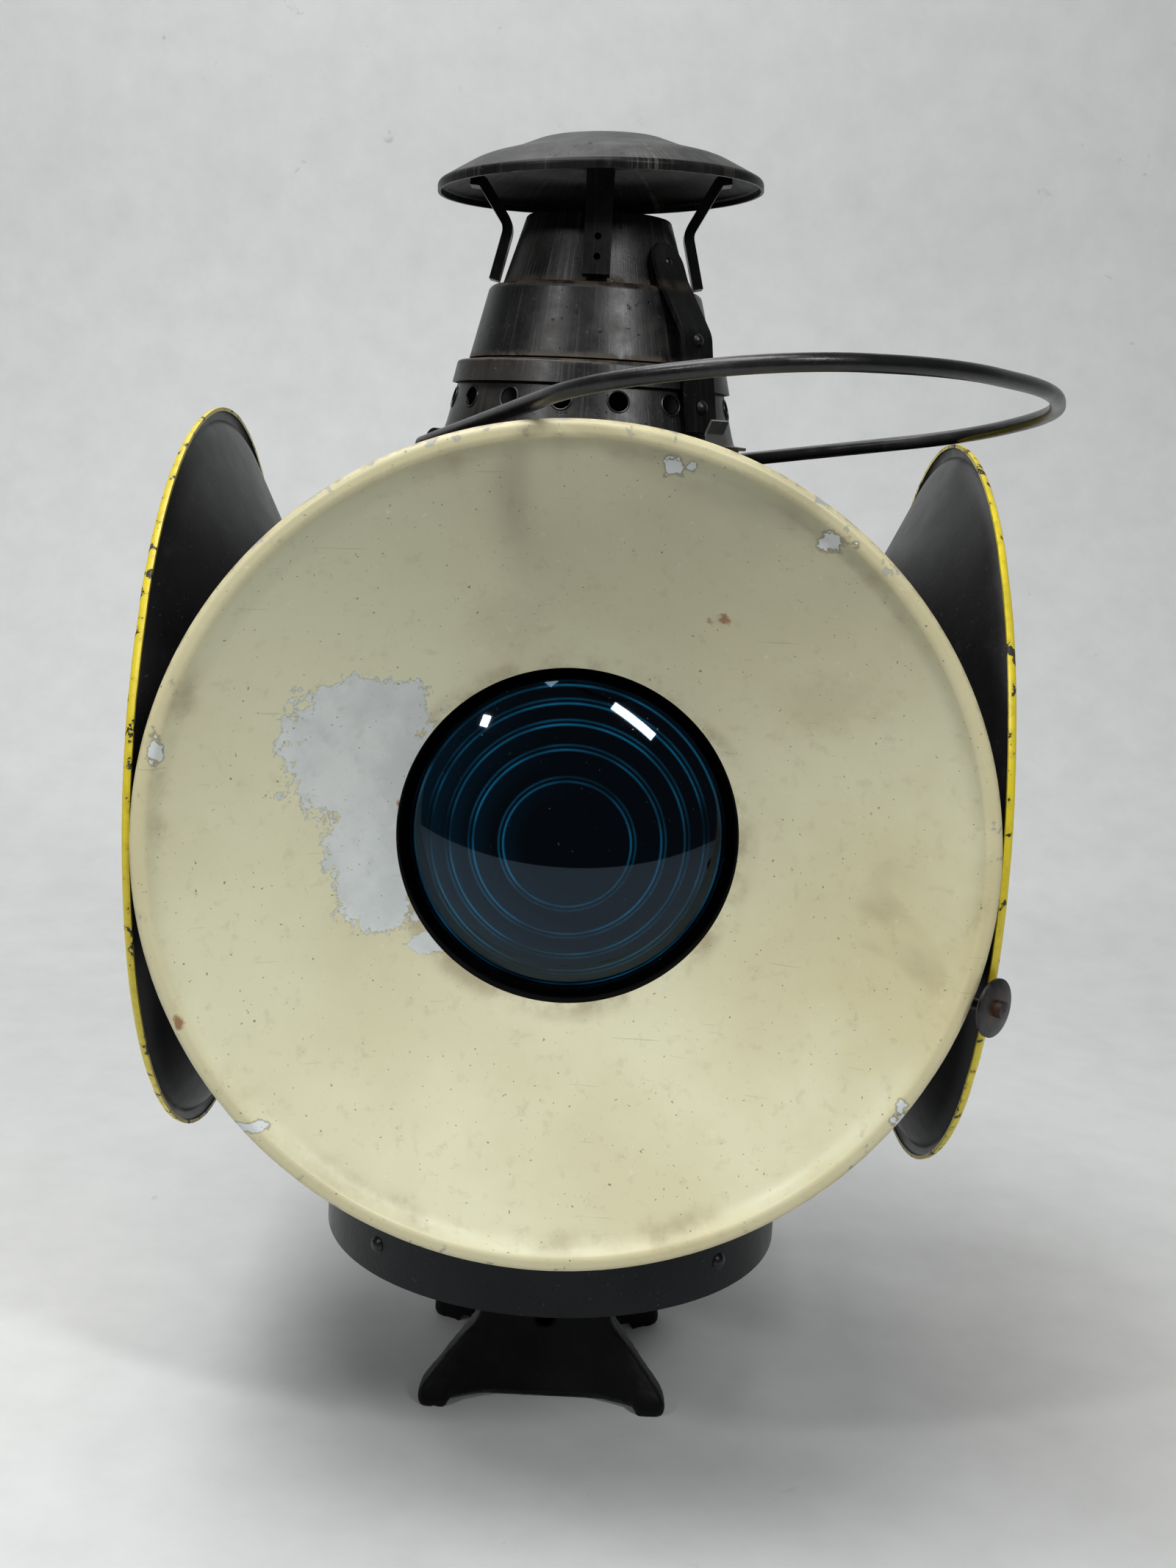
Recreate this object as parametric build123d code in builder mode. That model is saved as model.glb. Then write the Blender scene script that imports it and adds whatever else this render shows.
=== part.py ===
"""Four-way oil switch lamp with dished day targets, in millimetres.

+Z is up.  The origin is the centre of the spindle socket's mouth, in the plane of the four toes.
The front faces -Y and the wick knob points to the front right.
"""
import os
from math import asin, atan2, cos, degrees, hypot, radians, sin, sqrt, tan

from build123d import *

os.makedirs("parts", exist_ok=True)

# ---- driving dimensions ----
lens_axis = 276.0            # height of the four lens axes above the toes
sides = {"front": (0, -1), "right": (1, 0), "back": (0, 1), "left": (-1, 0)}
sheet = 1.2                  # pressed steel
gap = 0.3                    # between curved faces of neighbouring pieces

drum_radius = 101.2
drum_bottom = 73.0
drum_top = 379.0
band_height = 25.0
floor_sheet = 2.0
band_fit = 0.1
rivet_height = 14.0          # above the drum's bottom
rivet_radius = 3.6
rivet_rise = 2.2
rivet_shank = 3.4
diagonals = [45, 135, 225, 315]
air_hole_count = 8
air_hole_circle = 84.0
air_hole_radius = 5.0

# lens and its barrel: distances are measured outwards from the lamp's centre line
hood_radius = 70.2
hood_wall = 2.2
hood_start = 74.0
hood_end = 113.0
seat_radius = 61.5
seat_at = 99.0
seat_wall = 2.0
gasket_wall = 1.5
lens_radius = 67.6
lens_edge = 5.5
lens_rise = 20.0             # apex of the dome in front of the lens's edge
lens_wall = 5.0
lens_land = 3.0              # flat ring round the dome's foot
lens_back_radius = 60.0
lens_steps = [24.0, 35.5, 44.5, 52.0]
step_depth = 2.6
step_slant = 2.5
retainer_wall = 2.4

# dished target
target_sheet = 1.5
target_hole = 65.3
target_throat = 114.5
target_radius = 156.0
target_crest = 160.2
target_crest_radius = 150.2
target_lip = 0.6             # the lip's outer corner stands this far behind the crest
target_lip_end = 156.4
target_bends = [6.0, 2.8, 3.2]
dish_end_radius = 146.5
dish_end = 155.6
sleeve_radius = 71.9
sleeve_start = 104.0
sleeve_weld = (1.2, 0.6)     # how far the sleeve's outer and inner edges run into the dish
target_screw_angles = [90, 210, 330]
target_screw_radius = 2.9
target_screw_rise = 1.6
target_screw_round = 0.9

# roof, ventilator and cap
collar_radius = 64.4
collar_top = 424.5
roof_lap = 9.0               # of the roof's skirt over the drum
roof_curve = 70.0
roof_neck = 415.5
vent_flange_top = 426.4
ring_outline = [(67.5, vent_flange_top - 0.6), (62.3, vent_flange_top), (60.9, 431.0), (56.9, 446.4),
                (54.8, 455.0)]
skirt_outline = [(59.0, 447.5), (57.0, 456.4), (51.4, 457.1)]
lower_cone_outline = [(52.2, 457.8), (44.6, 487.4), (40.7, 488.3)]
upper_cone_outline = [(40.6, 484.5), (30.2, 517.0), (27.0, 517.2)]
vent_count = 16
vent_hole = 4.25
vent_height = 441.0
cap_tilt = 2.7               # the cap is bent, its right side up
cap_rim_radius = 68.0
cap_rim_height = 529.4
cap_outline = [(cap_rim_radius, -2.0), (cap_rim_radius, 1.6), (52.0, 10.4), (38.0, 14.2), (27.0, 18.4),
               (13.0, 20.6), (0.0, 20.6)]
cap_bends = [2.4, 30, 8, 8, 20]
strap_width = 11.0
strap_depth = 4.2
strap_top = 6.3              # above the cap's rim, where the strap turns out under the cap
strap_tip_reach = 54.0
strap_turn_reach = 48.0
strap_waist = (35.2, 512.5)
strap_foot = (40.9, 489.6)
strap_hole_radius = 1.4
strap_hole_heights = [497.5, 505.5]
tie_width = 17.0
tie_sheet = 1.8
tie_route = [(36.2, 506.0), (43.0, 490.6), (57.8, 469.0), (60.9, 447.0), (63.6, 430.5)]
tie_bends = [7, 10, 30]
tie_top = 497.4              # centre of the tie strap's rounded end
tie_rivets = [(40.5, 498.2, 2.6, 1.6, 2.4), (59.9, 467.0, 2.8, 1.8, 2.6), (64.1, 440.7, 3.0, 1.8, 4.6)]

# lid hinge, at the left back
lid_azimuth = 135.0
hinge_offset = 74.0
hinge_height = 427.2
hinge_pin_radius = 1.6
knuckle_radius = 3.3
knuckle_length = 10.0
pin_fit = 0.02
pin_head = 1.2
pin_head_margin = 0.9
hinge_post = (3.4, 20.0)
leaf_length = 9.0
leaf_sheet = 1.6
running_gap = 0.06

# spring catch, opposite the hinge, and the tab that it holds
catch_route = [(82.0, 400.0), (74.5, 411.0), (71.6, 425.0), (70.6, 430.5), (73.5, 436.0)]
catch_bends = [3, 8, 2]
catch_sheet = 1.0
catch_width = 10.0
tab_reach = 66.4
tab_length = 6.0
tab_sheet = 1.2
tab_width = 14.0

# bail
wire_radius = 3.0
bail_azimuth = 39.0          # direction of the hinge line, from +X
bail_height = 420.5
bail_rest = 8.3              # the loop's rise above level where it lies on the right target
ear_inner = 76.4
ear_sheet = 3.0
ear_radius = 7.0
ear_foot = (12.0, -14.0, -26.0)   # half width of the ear's foot, its shoulder and its lower edge
pin_collar = 2.0
pin_collar_margin = 1.6
pin_inset = 4.4
pin_bend = 5.0
arc_share = 0.45             # of the shorter run, taken by each bend of the bow
bail_points = [(-86, 0), (-124, 155), (-92, 214), (-30, 226), (48, 207), (104, 166), (125, 105), (86, 0)]

# base bracket
neck_half_width = 29.0
neck_half_depth = 40.0
toe_x = 48.0
toe_y = 43.0
toe_radius = 8.5
socket_radius = 14.3
socket_wall = 6.5
socket_depth = 56.0
casting_wall = 4.5
plate_radius = 56.0
plate_wall = 7.0
casting_waist = 39.0         # height where the neck starts to spread sideways
casting_back_waist = 26.0
toe_height = 9.0
toe_slant = 2.5
arch_height = 3.0
rib_width = 5.0
rib_bottom = 20.0
bolt_circle = 49.5
bolt_radius = 3.0
bolt_hole_fit = 0.2
bolt_head_radius = 5.5
bolt_head = 4.0
set_screw_height = 41.0
set_screw_radius = 4.6
set_screw_length = 18.0
set_screw_slot = 1.4
set_screw_slot_depth = 2.0

# oil fount, burner and wick
fount_radius = 56.0
fount_bottom = 84.0
fount_shoulder = 168.0
fount_neck = 180.0
fount_mouth = 16.0
fount_bends = [2.5, 8, 4]
fount_sheet = 1.0
seat_play = 0.6
seat_flange = 5.0
seat_lip = 3.0
seat_height = 10.0
filler_reach = 38.0          # the filler is behind the burner
filler_radius = 7.8
filler_plug = 17.0
filler_cap_margin = 2.2
filler_cap_height = 6.0
filler_cap_round = 1.2
burner_outline = [           # heights above the fount's neck
    (14.6, -2.0), (14.6, 8.0), (22.0, 8.0), (22.0, 10.5), (15.0, 12.0), (15.0, 24.0),
    (24.0, 27.0), (24.0, 45.0), (22.6, 45.0), (22.6, 28.4), (13.6, 25.4), (13.6, -2.0)]
burner_deck = (9.0, 2.0, 14.2)    # height above the neck, sheet and radius
wick_width = 12.0
wick_sheet = 2.0
wick_foot = 110.0
wick_top = 259.0
tube_top = 255.0
tube_sheet = 0.75
tube_foot = 6.0              # below the fount's neck
stem_height = 230.5
stem_radius = 2.4
stem_bush_radius = 5.4
knob_reach = 225.0
knob_radius = 11.0
wheel_radius = 3.3
wheel_offset = 4.6
wheel_width = 8.0
wheel_tooth = 1.4
wheel_tooth_width = 0.8
wheel_teeth = 12
spindle_radius = 1.5
spindle_end = 28.0
tongue = (3.6, 1.0, 5.0)     # width, sheet and length of the spindle's tongue
fork_start = 28.4
fork_radius = 3.6
fork_length = 8.0
fork_slot = 1.2
knob_azimuth = -45.0
knob_dish = 3.2              # how far the knob's hub reaches in front of the stem's end
knob_edge = 1.4
knob_rise = 3.4
knob_hub = 3.6
knob_hub_height = 2.4


# ---- small helpers ----
def keep(builder, name):
    """Label a finished piece and write it out."""
    builder.part.label = name
    export_step(builder.part, f"parts/{name}.step")


def turned(azimuth, reach=0.0, height=0.0):
    """Plane at an azimuth: local x outwards, local y up."""
    a = radians(azimuth)
    outward = Vector(cos(a), sin(a), 0)
    origin = outward * reach + Vector(0, 0, height)
    return Plane(origin=origin, x_dir=outward, z_dir=outward.cross(Vector(0, 0, 1)))


def outward_plane(azimuth, reach=0.0, height=0.0):
    """Plane facing outwards at an azimuth: local x level, local y up."""
    a = radians(azimuth)
    outward = Vector(cos(a), sin(a), 0)
    origin = outward * reach + Vector(0, 0, height)
    return Plane(origin=origin, x_dir=Vector(-sin(a), cos(a), 0), z_dir=outward)


def side_plane(side):
    """Plane through a lens axis: local x is the radius, local y the distance from the lamp's centre."""
    x, y = sides[side]
    return Plane(origin=(0, 0, lens_axis), x_dir=(0, 0, 1), z_dir=(-y, x, 0))


def side_azimuth(side):
    x, y = sides[side]
    return degrees(atan2(y, x))


def lens_line(side):
    x, y = sides[side]
    return Axis((0, 0, lens_axis), (x, y, 0))


def spun(name, points, plane=Plane.XZ, axis=Axis.Z):
    """A piece turned from a closed outline."""
    with BuildPart() as piece:
        with BuildSketch(plane):
            with BuildLine():
                Polyline(*points, close=True)
            make_face()
        revolve(axis=axis)
    keep(piece, name)


def spun_sheet(points, bend, wall):
    """Add a turned sheet to the part in progress: its outer line, rounded at the corners, and its wall."""
    with BuildSketch(Plane.XZ) as outline:
        with BuildLine():
            FilletPolyline(*points, radius=bend)
            offset(amount=wall, side=Side.LEFT)
        make_face()
    revolve(outline.sketch, axis=Axis.Z)


def dome_heads(azimuths, reach, height, radius, rise, shank):
    """Dome-headed rivets standing outwards, each with its shank."""
    ball = (radius**2 + rise**2) / (2 * rise)
    for azimuth in azimuths:
        plane = turned(azimuth, reach, height)
        with BuildSketch(plane) as outline:
            with BuildLine():
                Line((-shank, 0), (rise, 0))
                RadiusArc((rise, 0), (0, radius), -ball)
                Line((0, radius), (0, radius / 2))
                Line((0, radius / 2), (-shank, radius / 2))
                Line((-shank, radius / 2), (-shank, 0))
            make_face()
        revolve(outline.sketch, axis=Axis(plane.origin, plane.x_dir))


# ---- body drum, band and floor ----
def make_drum():
    with BuildPart() as drum:
        with BuildSketch(Plane.XY.offset(drum_bottom)):
            Circle(drum_radius)
            Circle(drum_radius - sheet, mode=Mode.SUBTRACT)
        extrude(amount=drum_top - floor_sheet - drum_bottom)
        for side in sides:
            with BuildSketch(outward_plane(side_azimuth(side), 0, lens_axis)):
                Circle(hood_radius + gap)
            extrude(amount=drum_radius + gap, mode=Mode.SUBTRACT)
        with BuildSketch(stem_frame(0)):
            Circle(stem_bush_radius)
        extrude(amount=drum_radius + gap, mode=Mode.SUBTRACT)
    keep(drum, "body_drum")


def make_band():
    inner = drum_radius + band_fit
    with BuildPart() as band:
        with BuildSketch(Plane.XY.offset(drum_bottom)):
            Circle(inner + sheet)
            Circle(inner, mode=Mode.SUBTRACT)
        extrude(amount=band_height)
    keep(band, "base_band")
    with BuildPart() as rivets:
        height = drum_bottom + rivet_height
        dome_heads(diagonals, inner + sheet, height, rivet_radius, rivet_rise, rivet_shank)
    keep(rivets, "band_rivets")


def make_floor():
    with BuildPart() as floor:
        with BuildSketch(Plane.XY.offset(drum_bottom)):
            Circle(drum_radius - sheet - band_fit)
            with PolarLocations(bolt_circle, len(diagonals), start_angle=diagonals[0]):
                Circle(bolt_radius + bolt_hole_fit, mode=Mode.SUBTRACT)
            with PolarLocations(air_hole_circle, air_hole_count, start_angle=180 / air_hole_count):
                Circle(air_hole_radius, mode=Mode.SUBTRACT)
        extrude(amount=floor_sheet)
    keep(floor, "body_floor")


# ---- lens barrels, lenses and targets ----
def make_barrel(side):
    inner = hood_radius - hood_wall
    spun(f"{side}_lens_barrel", [
        (inner, hood_start), (hood_radius, hood_start), (hood_radius, hood_end), (inner, hood_end),
        (inner, seat_at + seat_wall), (seat_radius, seat_at + seat_wall), (seat_radius, seat_at),
        (inner, seat_at),
    ], side_plane(side), lens_line(side))
    low = seat_at + seat_wall
    gasket_inner = seat_radius + 1
    gasket_outer = inner - 2 * band_fit
    spun(f"{side}_gasket", [(gasket_inner, low), (gasket_outer, low), (gasket_outer, low + gasket_wall),
                            (gasket_inner, low + gasket_wall)], side_plane(side), lens_line(side))


def make_lens(side):
    back = seat_at + seat_wall + gasket_wall
    front = back + lens_edge
    dome_foot = lens_radius - lens_land
    ball = (dome_foot**2 + lens_rise**2) / (2 * lens_rise)
    with BuildPart() as lens:
        with BuildSketch(side_plane(side)):
            with BuildLine():
                outline = [(dome_foot, front), (lens_radius, front), (lens_radius, back)]
                outline.append((lens_back_radius, back))
                for radius in reversed(lens_steps):
                    height = front + lens_rise - ball + sqrt(ball**2 - radius**2) - lens_wall
                    outline += [(radius + step_slant, height - step_depth), (radius, height)]
                outline += [(0, front + lens_rise - 2 * lens_wall), (0, front + lens_rise)]
                Polyline(*outline)
                RadiusArc((0, front + lens_rise), (dome_foot, front), ball)
            make_face()
        revolve(axis=lens_line(side))
    keep(lens, f"{side}_lens")
    low = front + band_fit
    inner = dome_foot + 5 * band_fit
    outer = hood_radius - hood_wall - band_fit
    high = low + retainer_wall
    spun(f"{side}_retainer", [(inner, low), (outer, low), (outer, high), (inner, high)],
         side_plane(side), lens_line(side))


def make_target(side):
    """One spun dish: throat, straight cone, rolled rim turned back, and the sleeve behind it."""
    slope = atan2(dish_end - target_throat, dish_end_radius - target_hole)
    rise = target_sheet / cos(slope)
    with BuildPart() as target:
        with BuildSketch(side_plane(side)):
            with BuildLine():
                FilletPolyline(
                    (target_hole, target_throat), (dish_end_radius, dish_end),
                    (target_crest_radius, target_crest), (target_radius, target_crest - target_lip),
                    (target_radius, target_lip_end), radius=target_bends)
                offset(amount=target_sheet, side=Side.RIGHT)
            make_face()
            with BuildLine():
                low = target_throat + (sleeve_radius - target_hole) * tan(slope) - rise
                outer = sleeve_radius + sheet
                Polyline((sleeve_radius, sleeve_start), (outer, sleeve_start), (outer, low + sleeve_weld[0]),
                         (sleeve_radius, low + sleeve_weld[1]), close=True)
            make_face()
        revolve(axis=lens_line(side))
    keep(target, f"{side}_target")
    with BuildPart() as screws:
        x, y = sides[side]
        centre = Vector(x, y, 0) * (sleeve_start + 4) + Vector(0, 0, lens_axis)
        for angle in target_screw_angles:
            a = radians(angle)
            radial = Vector(-y * cos(a), x * cos(a), sin(a))
            head = Plane(origin=centre + radial * (sleeve_radius + sheet), z_dir=radial)
            with BuildSketch(head):
                Circle(target_screw_radius)
            extrude(amount=target_screw_rise)
            top = screws.faces().filter_by(GeomType.PLANE).sort_by(Axis(centre, radial))[-1]
            fillet(top.edges(), target_screw_round)
    keep(screws, f"{side}_target_screws")


# ---- roof, hinge, catch and bail ears ----
def roof_outline():
    """Outer line of the roof, from the drum's top to the collar."""
    RadiusArc((drum_radius + band_fit + sheet, drum_top), (collar_radius, roof_neck), -roof_curve)


def make_roof():
    edge = drum_radius + band_fit + sheet
    with BuildPart() as roof:
        with BuildSketch(Plane.XZ):
            with BuildLine():
                Line((edge, drum_top - roof_lap), (edge, drum_top))
                roof_outline()
                Line((collar_radius, roof_neck), (collar_radius, collar_top))
                offset(amount=sheet, side=Side.LEFT)
            make_face()
        revolve(axis=Axis.Z)
    keep(roof, "roof")


def cut_roof_away():
    """Cut everything under the roof's outer skin from the part in progress."""
    with BuildSketch(Plane.XZ) as outline:
        with BuildLine():
            roof_outline()
            Line((collar_radius, roof_neck), (0, roof_neck))
            Line((0, roof_neck), (0, drum_top))
            Line((0, drum_top), (drum_radius + band_fit + sheet, drum_top))
        make_face()
    revolve(outline.sketch, axis=Axis.Z, mode=Mode.SUBTRACT)


def make_hinge():
    across = outward_plane(lid_azimuth + 90, 0, hinge_height)
    pin_x = -hinge_offset
    half = knuckle_length / 2
    with BuildPart() as base:
        for start in (half + gap, -half - gap - knuckle_length):
            with BuildSketch(across.offset(start)):
                with Locations((pin_x, 0)):
                    Circle(knuckle_radius)
                with Locations((pin_x - hinge_pin_radius, -hinge_post[1] / 2)):
                    Rectangle(*hinge_post)
                with Locations((pin_x, 0)):
                    Circle(hinge_pin_radius + pin_fit, mode=Mode.SUBTRACT)
            extrude(amount=knuckle_length)
        cut_roof_away()
    keep(base, "lid_hinge_base")
    with BuildPart() as leaf:
        with BuildSketch(across.offset(-half)):
            with Locations((pin_x, 0)):
                Circle(knuckle_radius)
            with Locations((pin_x + leaf_length / 2 + 1, 0)):
                Rectangle(leaf_length, leaf_sheet)
            with Locations((pin_x, 0)):
                Circle(hinge_pin_radius + running_gap, mode=Mode.SUBTRACT)
        extrude(amount=knuckle_length)
    keep(leaf, "lid_hinge_leaf")
    length = 3 * knuckle_length + 4 * gap
    with BuildPart() as pin:
        with BuildSketch(across.offset(-length / 2)):
            with Locations((pin_x, 0)):
                Circle(hinge_pin_radius)
        extrude(amount=length)
        for start in (-length / 2 - pin_head, length / 2):
            with BuildSketch(across.offset(start)):
                with Locations((pin_x, 0)):
                    Circle(hinge_pin_radius + pin_head_margin)
            extrude(amount=pin_head)
    keep(pin, "lid_hinge_pin")


def make_catch():
    """A spring strip on the roof with a rounded nose that holds the lid's tab down."""
    with BuildPart() as spring:
        with BuildSketch(turned(lid_azimuth + 180)):
            with BuildLine():
                FilletPolyline(*catch_route, radius=catch_bends)
                offset(amount=catch_sheet, side=Side.RIGHT)
            make_face()
        extrude(amount=catch_width / 2, both=True)
        cut_roof_away()
    keep(spring, "lid_catch_spring")
    with BuildPart() as tab:
        with BuildSketch(turned(lid_azimuth + 180)):
            with Locations((tab_reach, vent_flange_top + band_fit + tab_sheet / 2)):
                Rectangle(tab_length, tab_sheet)
        extrude(amount=tab_width / 2, both=True)
    keep(tab, "lid_tab")


def make_ears():
    foot, shoulder, bottom = ear_foot
    with BuildPart() as ears:
        for azimuth in (bail_azimuth, bail_azimuth + 180):
            with BuildSketch(outward_plane(azimuth, ear_inner, bail_height)):
                Circle(ear_radius)
                with BuildLine():
                    Polyline((-ear_radius, 0), (-foot, shoulder), (-foot, bottom), (foot, bottom),
                             (foot, shoulder), (ear_radius, 0), close=True)
                make_face()
                Circle(wire_radius + running_gap, mode=Mode.SUBTRACT)
            extrude(amount=ear_sheet)
        cut_roof_away()
    keep(ears, "bail_ears")


# ---- bail ----
def make_bail():
    """Bent wire: a straight pin through each ear, splayed legs and an uneven hand-bent bow."""
    a = radians(bail_azimuth)
    along = Vector(cos(a), sin(a), 0)
    tilt = radians(bail_rest)
    across = Vector(sin(a), -cos(a), 0) * cos(tilt) + Vector(0, 0, sin(tilt))
    loop = Plane(origin=(0, 0, bail_height), x_dir=along, z_dir=along.cross(across))
    pin_end = ear_inner - pin_inset
    route = [(-pin_end, 0)] + bail_points + [(pin_end, 0)]
    radii = [pin_bend]
    for before, corner, after in zip(bail_points[:-2], bail_points[1:-1], bail_points[2:]):
        first = hypot(corner[0] - before[0], corner[1] - before[1])
        second = hypot(after[0] - corner[0], after[1] - corner[1])
        turn = abs(atan2(after[1] - corner[1], after[0] - corner[0])
                   - atan2(corner[1] - before[1], corner[0] - before[0]))
        radii.append(arc_share * min(first, second) / tan(turn / 2))
    radii.append(pin_bend)
    with BuildPart() as bail:
        with BuildLine(loop) as path:
            FilletPolyline(*route, radius=radii)
        with BuildSketch(outward_plane(bail_azimuth, -pin_end, bail_height)):
            Circle(wire_radius)
        sweep(path=path.wire())
        for azimuth in (bail_azimuth, bail_azimuth + 180):
            with BuildSketch(outward_plane(azimuth, pin_end - pin_collar, bail_height)):
                Circle(wire_radius + pin_collar_margin)
            extrude(amount=pin_collar)
    keep(bail, "bail")


# ---- ventilator ----
def make_vent_ring():
    with BuildPart() as ring:
        spun_sheet(ring_outline, 1.0, sheet)
        for index in range(vent_count):
            azimuth = 270 + (index + 0.5) * 360 / vent_count
            with BuildSketch(outward_plane(azimuth, 0, vent_height)):
                Circle(vent_hole)
            extrude(amount=drum_radius, mode=Mode.SUBTRACT)
    keep(ring, "vent_ring")


def make_cones():
    with BuildPart() as skirt:
        spun_sheet(skirt_outline, 1.6, sheet)
    keep(skirt, "vent_skirt")
    with BuildPart() as lower:
        spun_sheet(lower_cone_outline, 3.2, sheet)
    keep(lower, "lower_cone")
    with BuildPart() as upper:
        spun_sheet(upper_cone_outline, 1.8, sheet)
    keep(upper, "upper_cone")


def cap_plane():
    t = radians(cap_tilt)
    return Plane(origin=(0, 0, cap_rim_height), x_dir=(cos(t), 0, sin(t)), z_dir=(0, -1, 0))


def make_cap():
    """Mushroom cap with a raised centre and a rolled-down rim, bent a little to one side."""
    plane = cap_plane()
    with BuildPart() as cap:
        with BuildSketch(plane):
            with BuildLine():
                FilletPolyline(*cap_outline, radius=cap_bends)
                offset(amount=sheet, side=Side.LEFT)
            make_face()
        revolve(axis=Axis(plane.origin, plane.y_dir))
    keep(cap, "cap")


def make_cap_straps():
    """Four bent channels from the upper cone to the underside of the cap."""
    with BuildPart() as straps:
        for azimuth in (0, 90, 180, 270):
            lift = tan(radians(cap_tilt)) * cos(radians(azimuth))
            top = cap_rim_height + strap_top + lift * (strap_turn_reach + 1)
            tip = top - 1.2 + lift * (strap_tip_reach - strap_turn_reach - 1)
            with BuildSketch(turned(azimuth)):
                with BuildLine():
                    FilletPolyline((strap_tip_reach, tip), (strap_turn_reach, top - 1.9), strap_waist,
                                   strap_foot, radius=[4, 10])
                    offset(amount=strap_depth, side=Side.LEFT)
                make_face()
            extrude(amount=strap_width / 2, both=True)
            for height in strap_hole_heights:
                with BuildSketch(outward_plane(azimuth, strap_waist[0] + strap_depth / 2, height)):
                    Circle(strap_hole_radius)
                extrude(amount=3 * strap_depth, mode=Mode.SUBTRACT)
    keep(straps, "cap_straps")


def make_tie_straps():
    """Two joggled straps that tie the ventilator's rings together, standing off the lower cone."""
    for name, azimuth in (("front_tie_strap", lid_azimuth + 180), ("rear_tie_strap", lid_azimuth)):
        with BuildPart() as strap:
            with BuildSketch(turned(azimuth)):
                with BuildLine():
                    FilletPolyline(*tie_route, radius=tie_bends)
                    offset(amount=tie_sheet, side=Side.LEFT)
                make_face()
            extrude(amount=tie_width / 2, both=True)
            with BuildSketch(outward_plane(azimuth)):
                with Locations((0, tie_top)):
                    Circle(tie_width / 2)
                with Locations((0, tie_top - collar_radius)):
                    Rectangle(tie_width, 2 * collar_radius)
            extrude(amount=drum_radius, mode=Mode.INTERSECT)
        keep(strap, name)
    with BuildPart() as rivets:
        for rivet in tie_rivets:
            dome_heads([lid_azimuth, lid_azimuth + 180], *rivet)
    keep(rivets, "tie_rivets")


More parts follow.
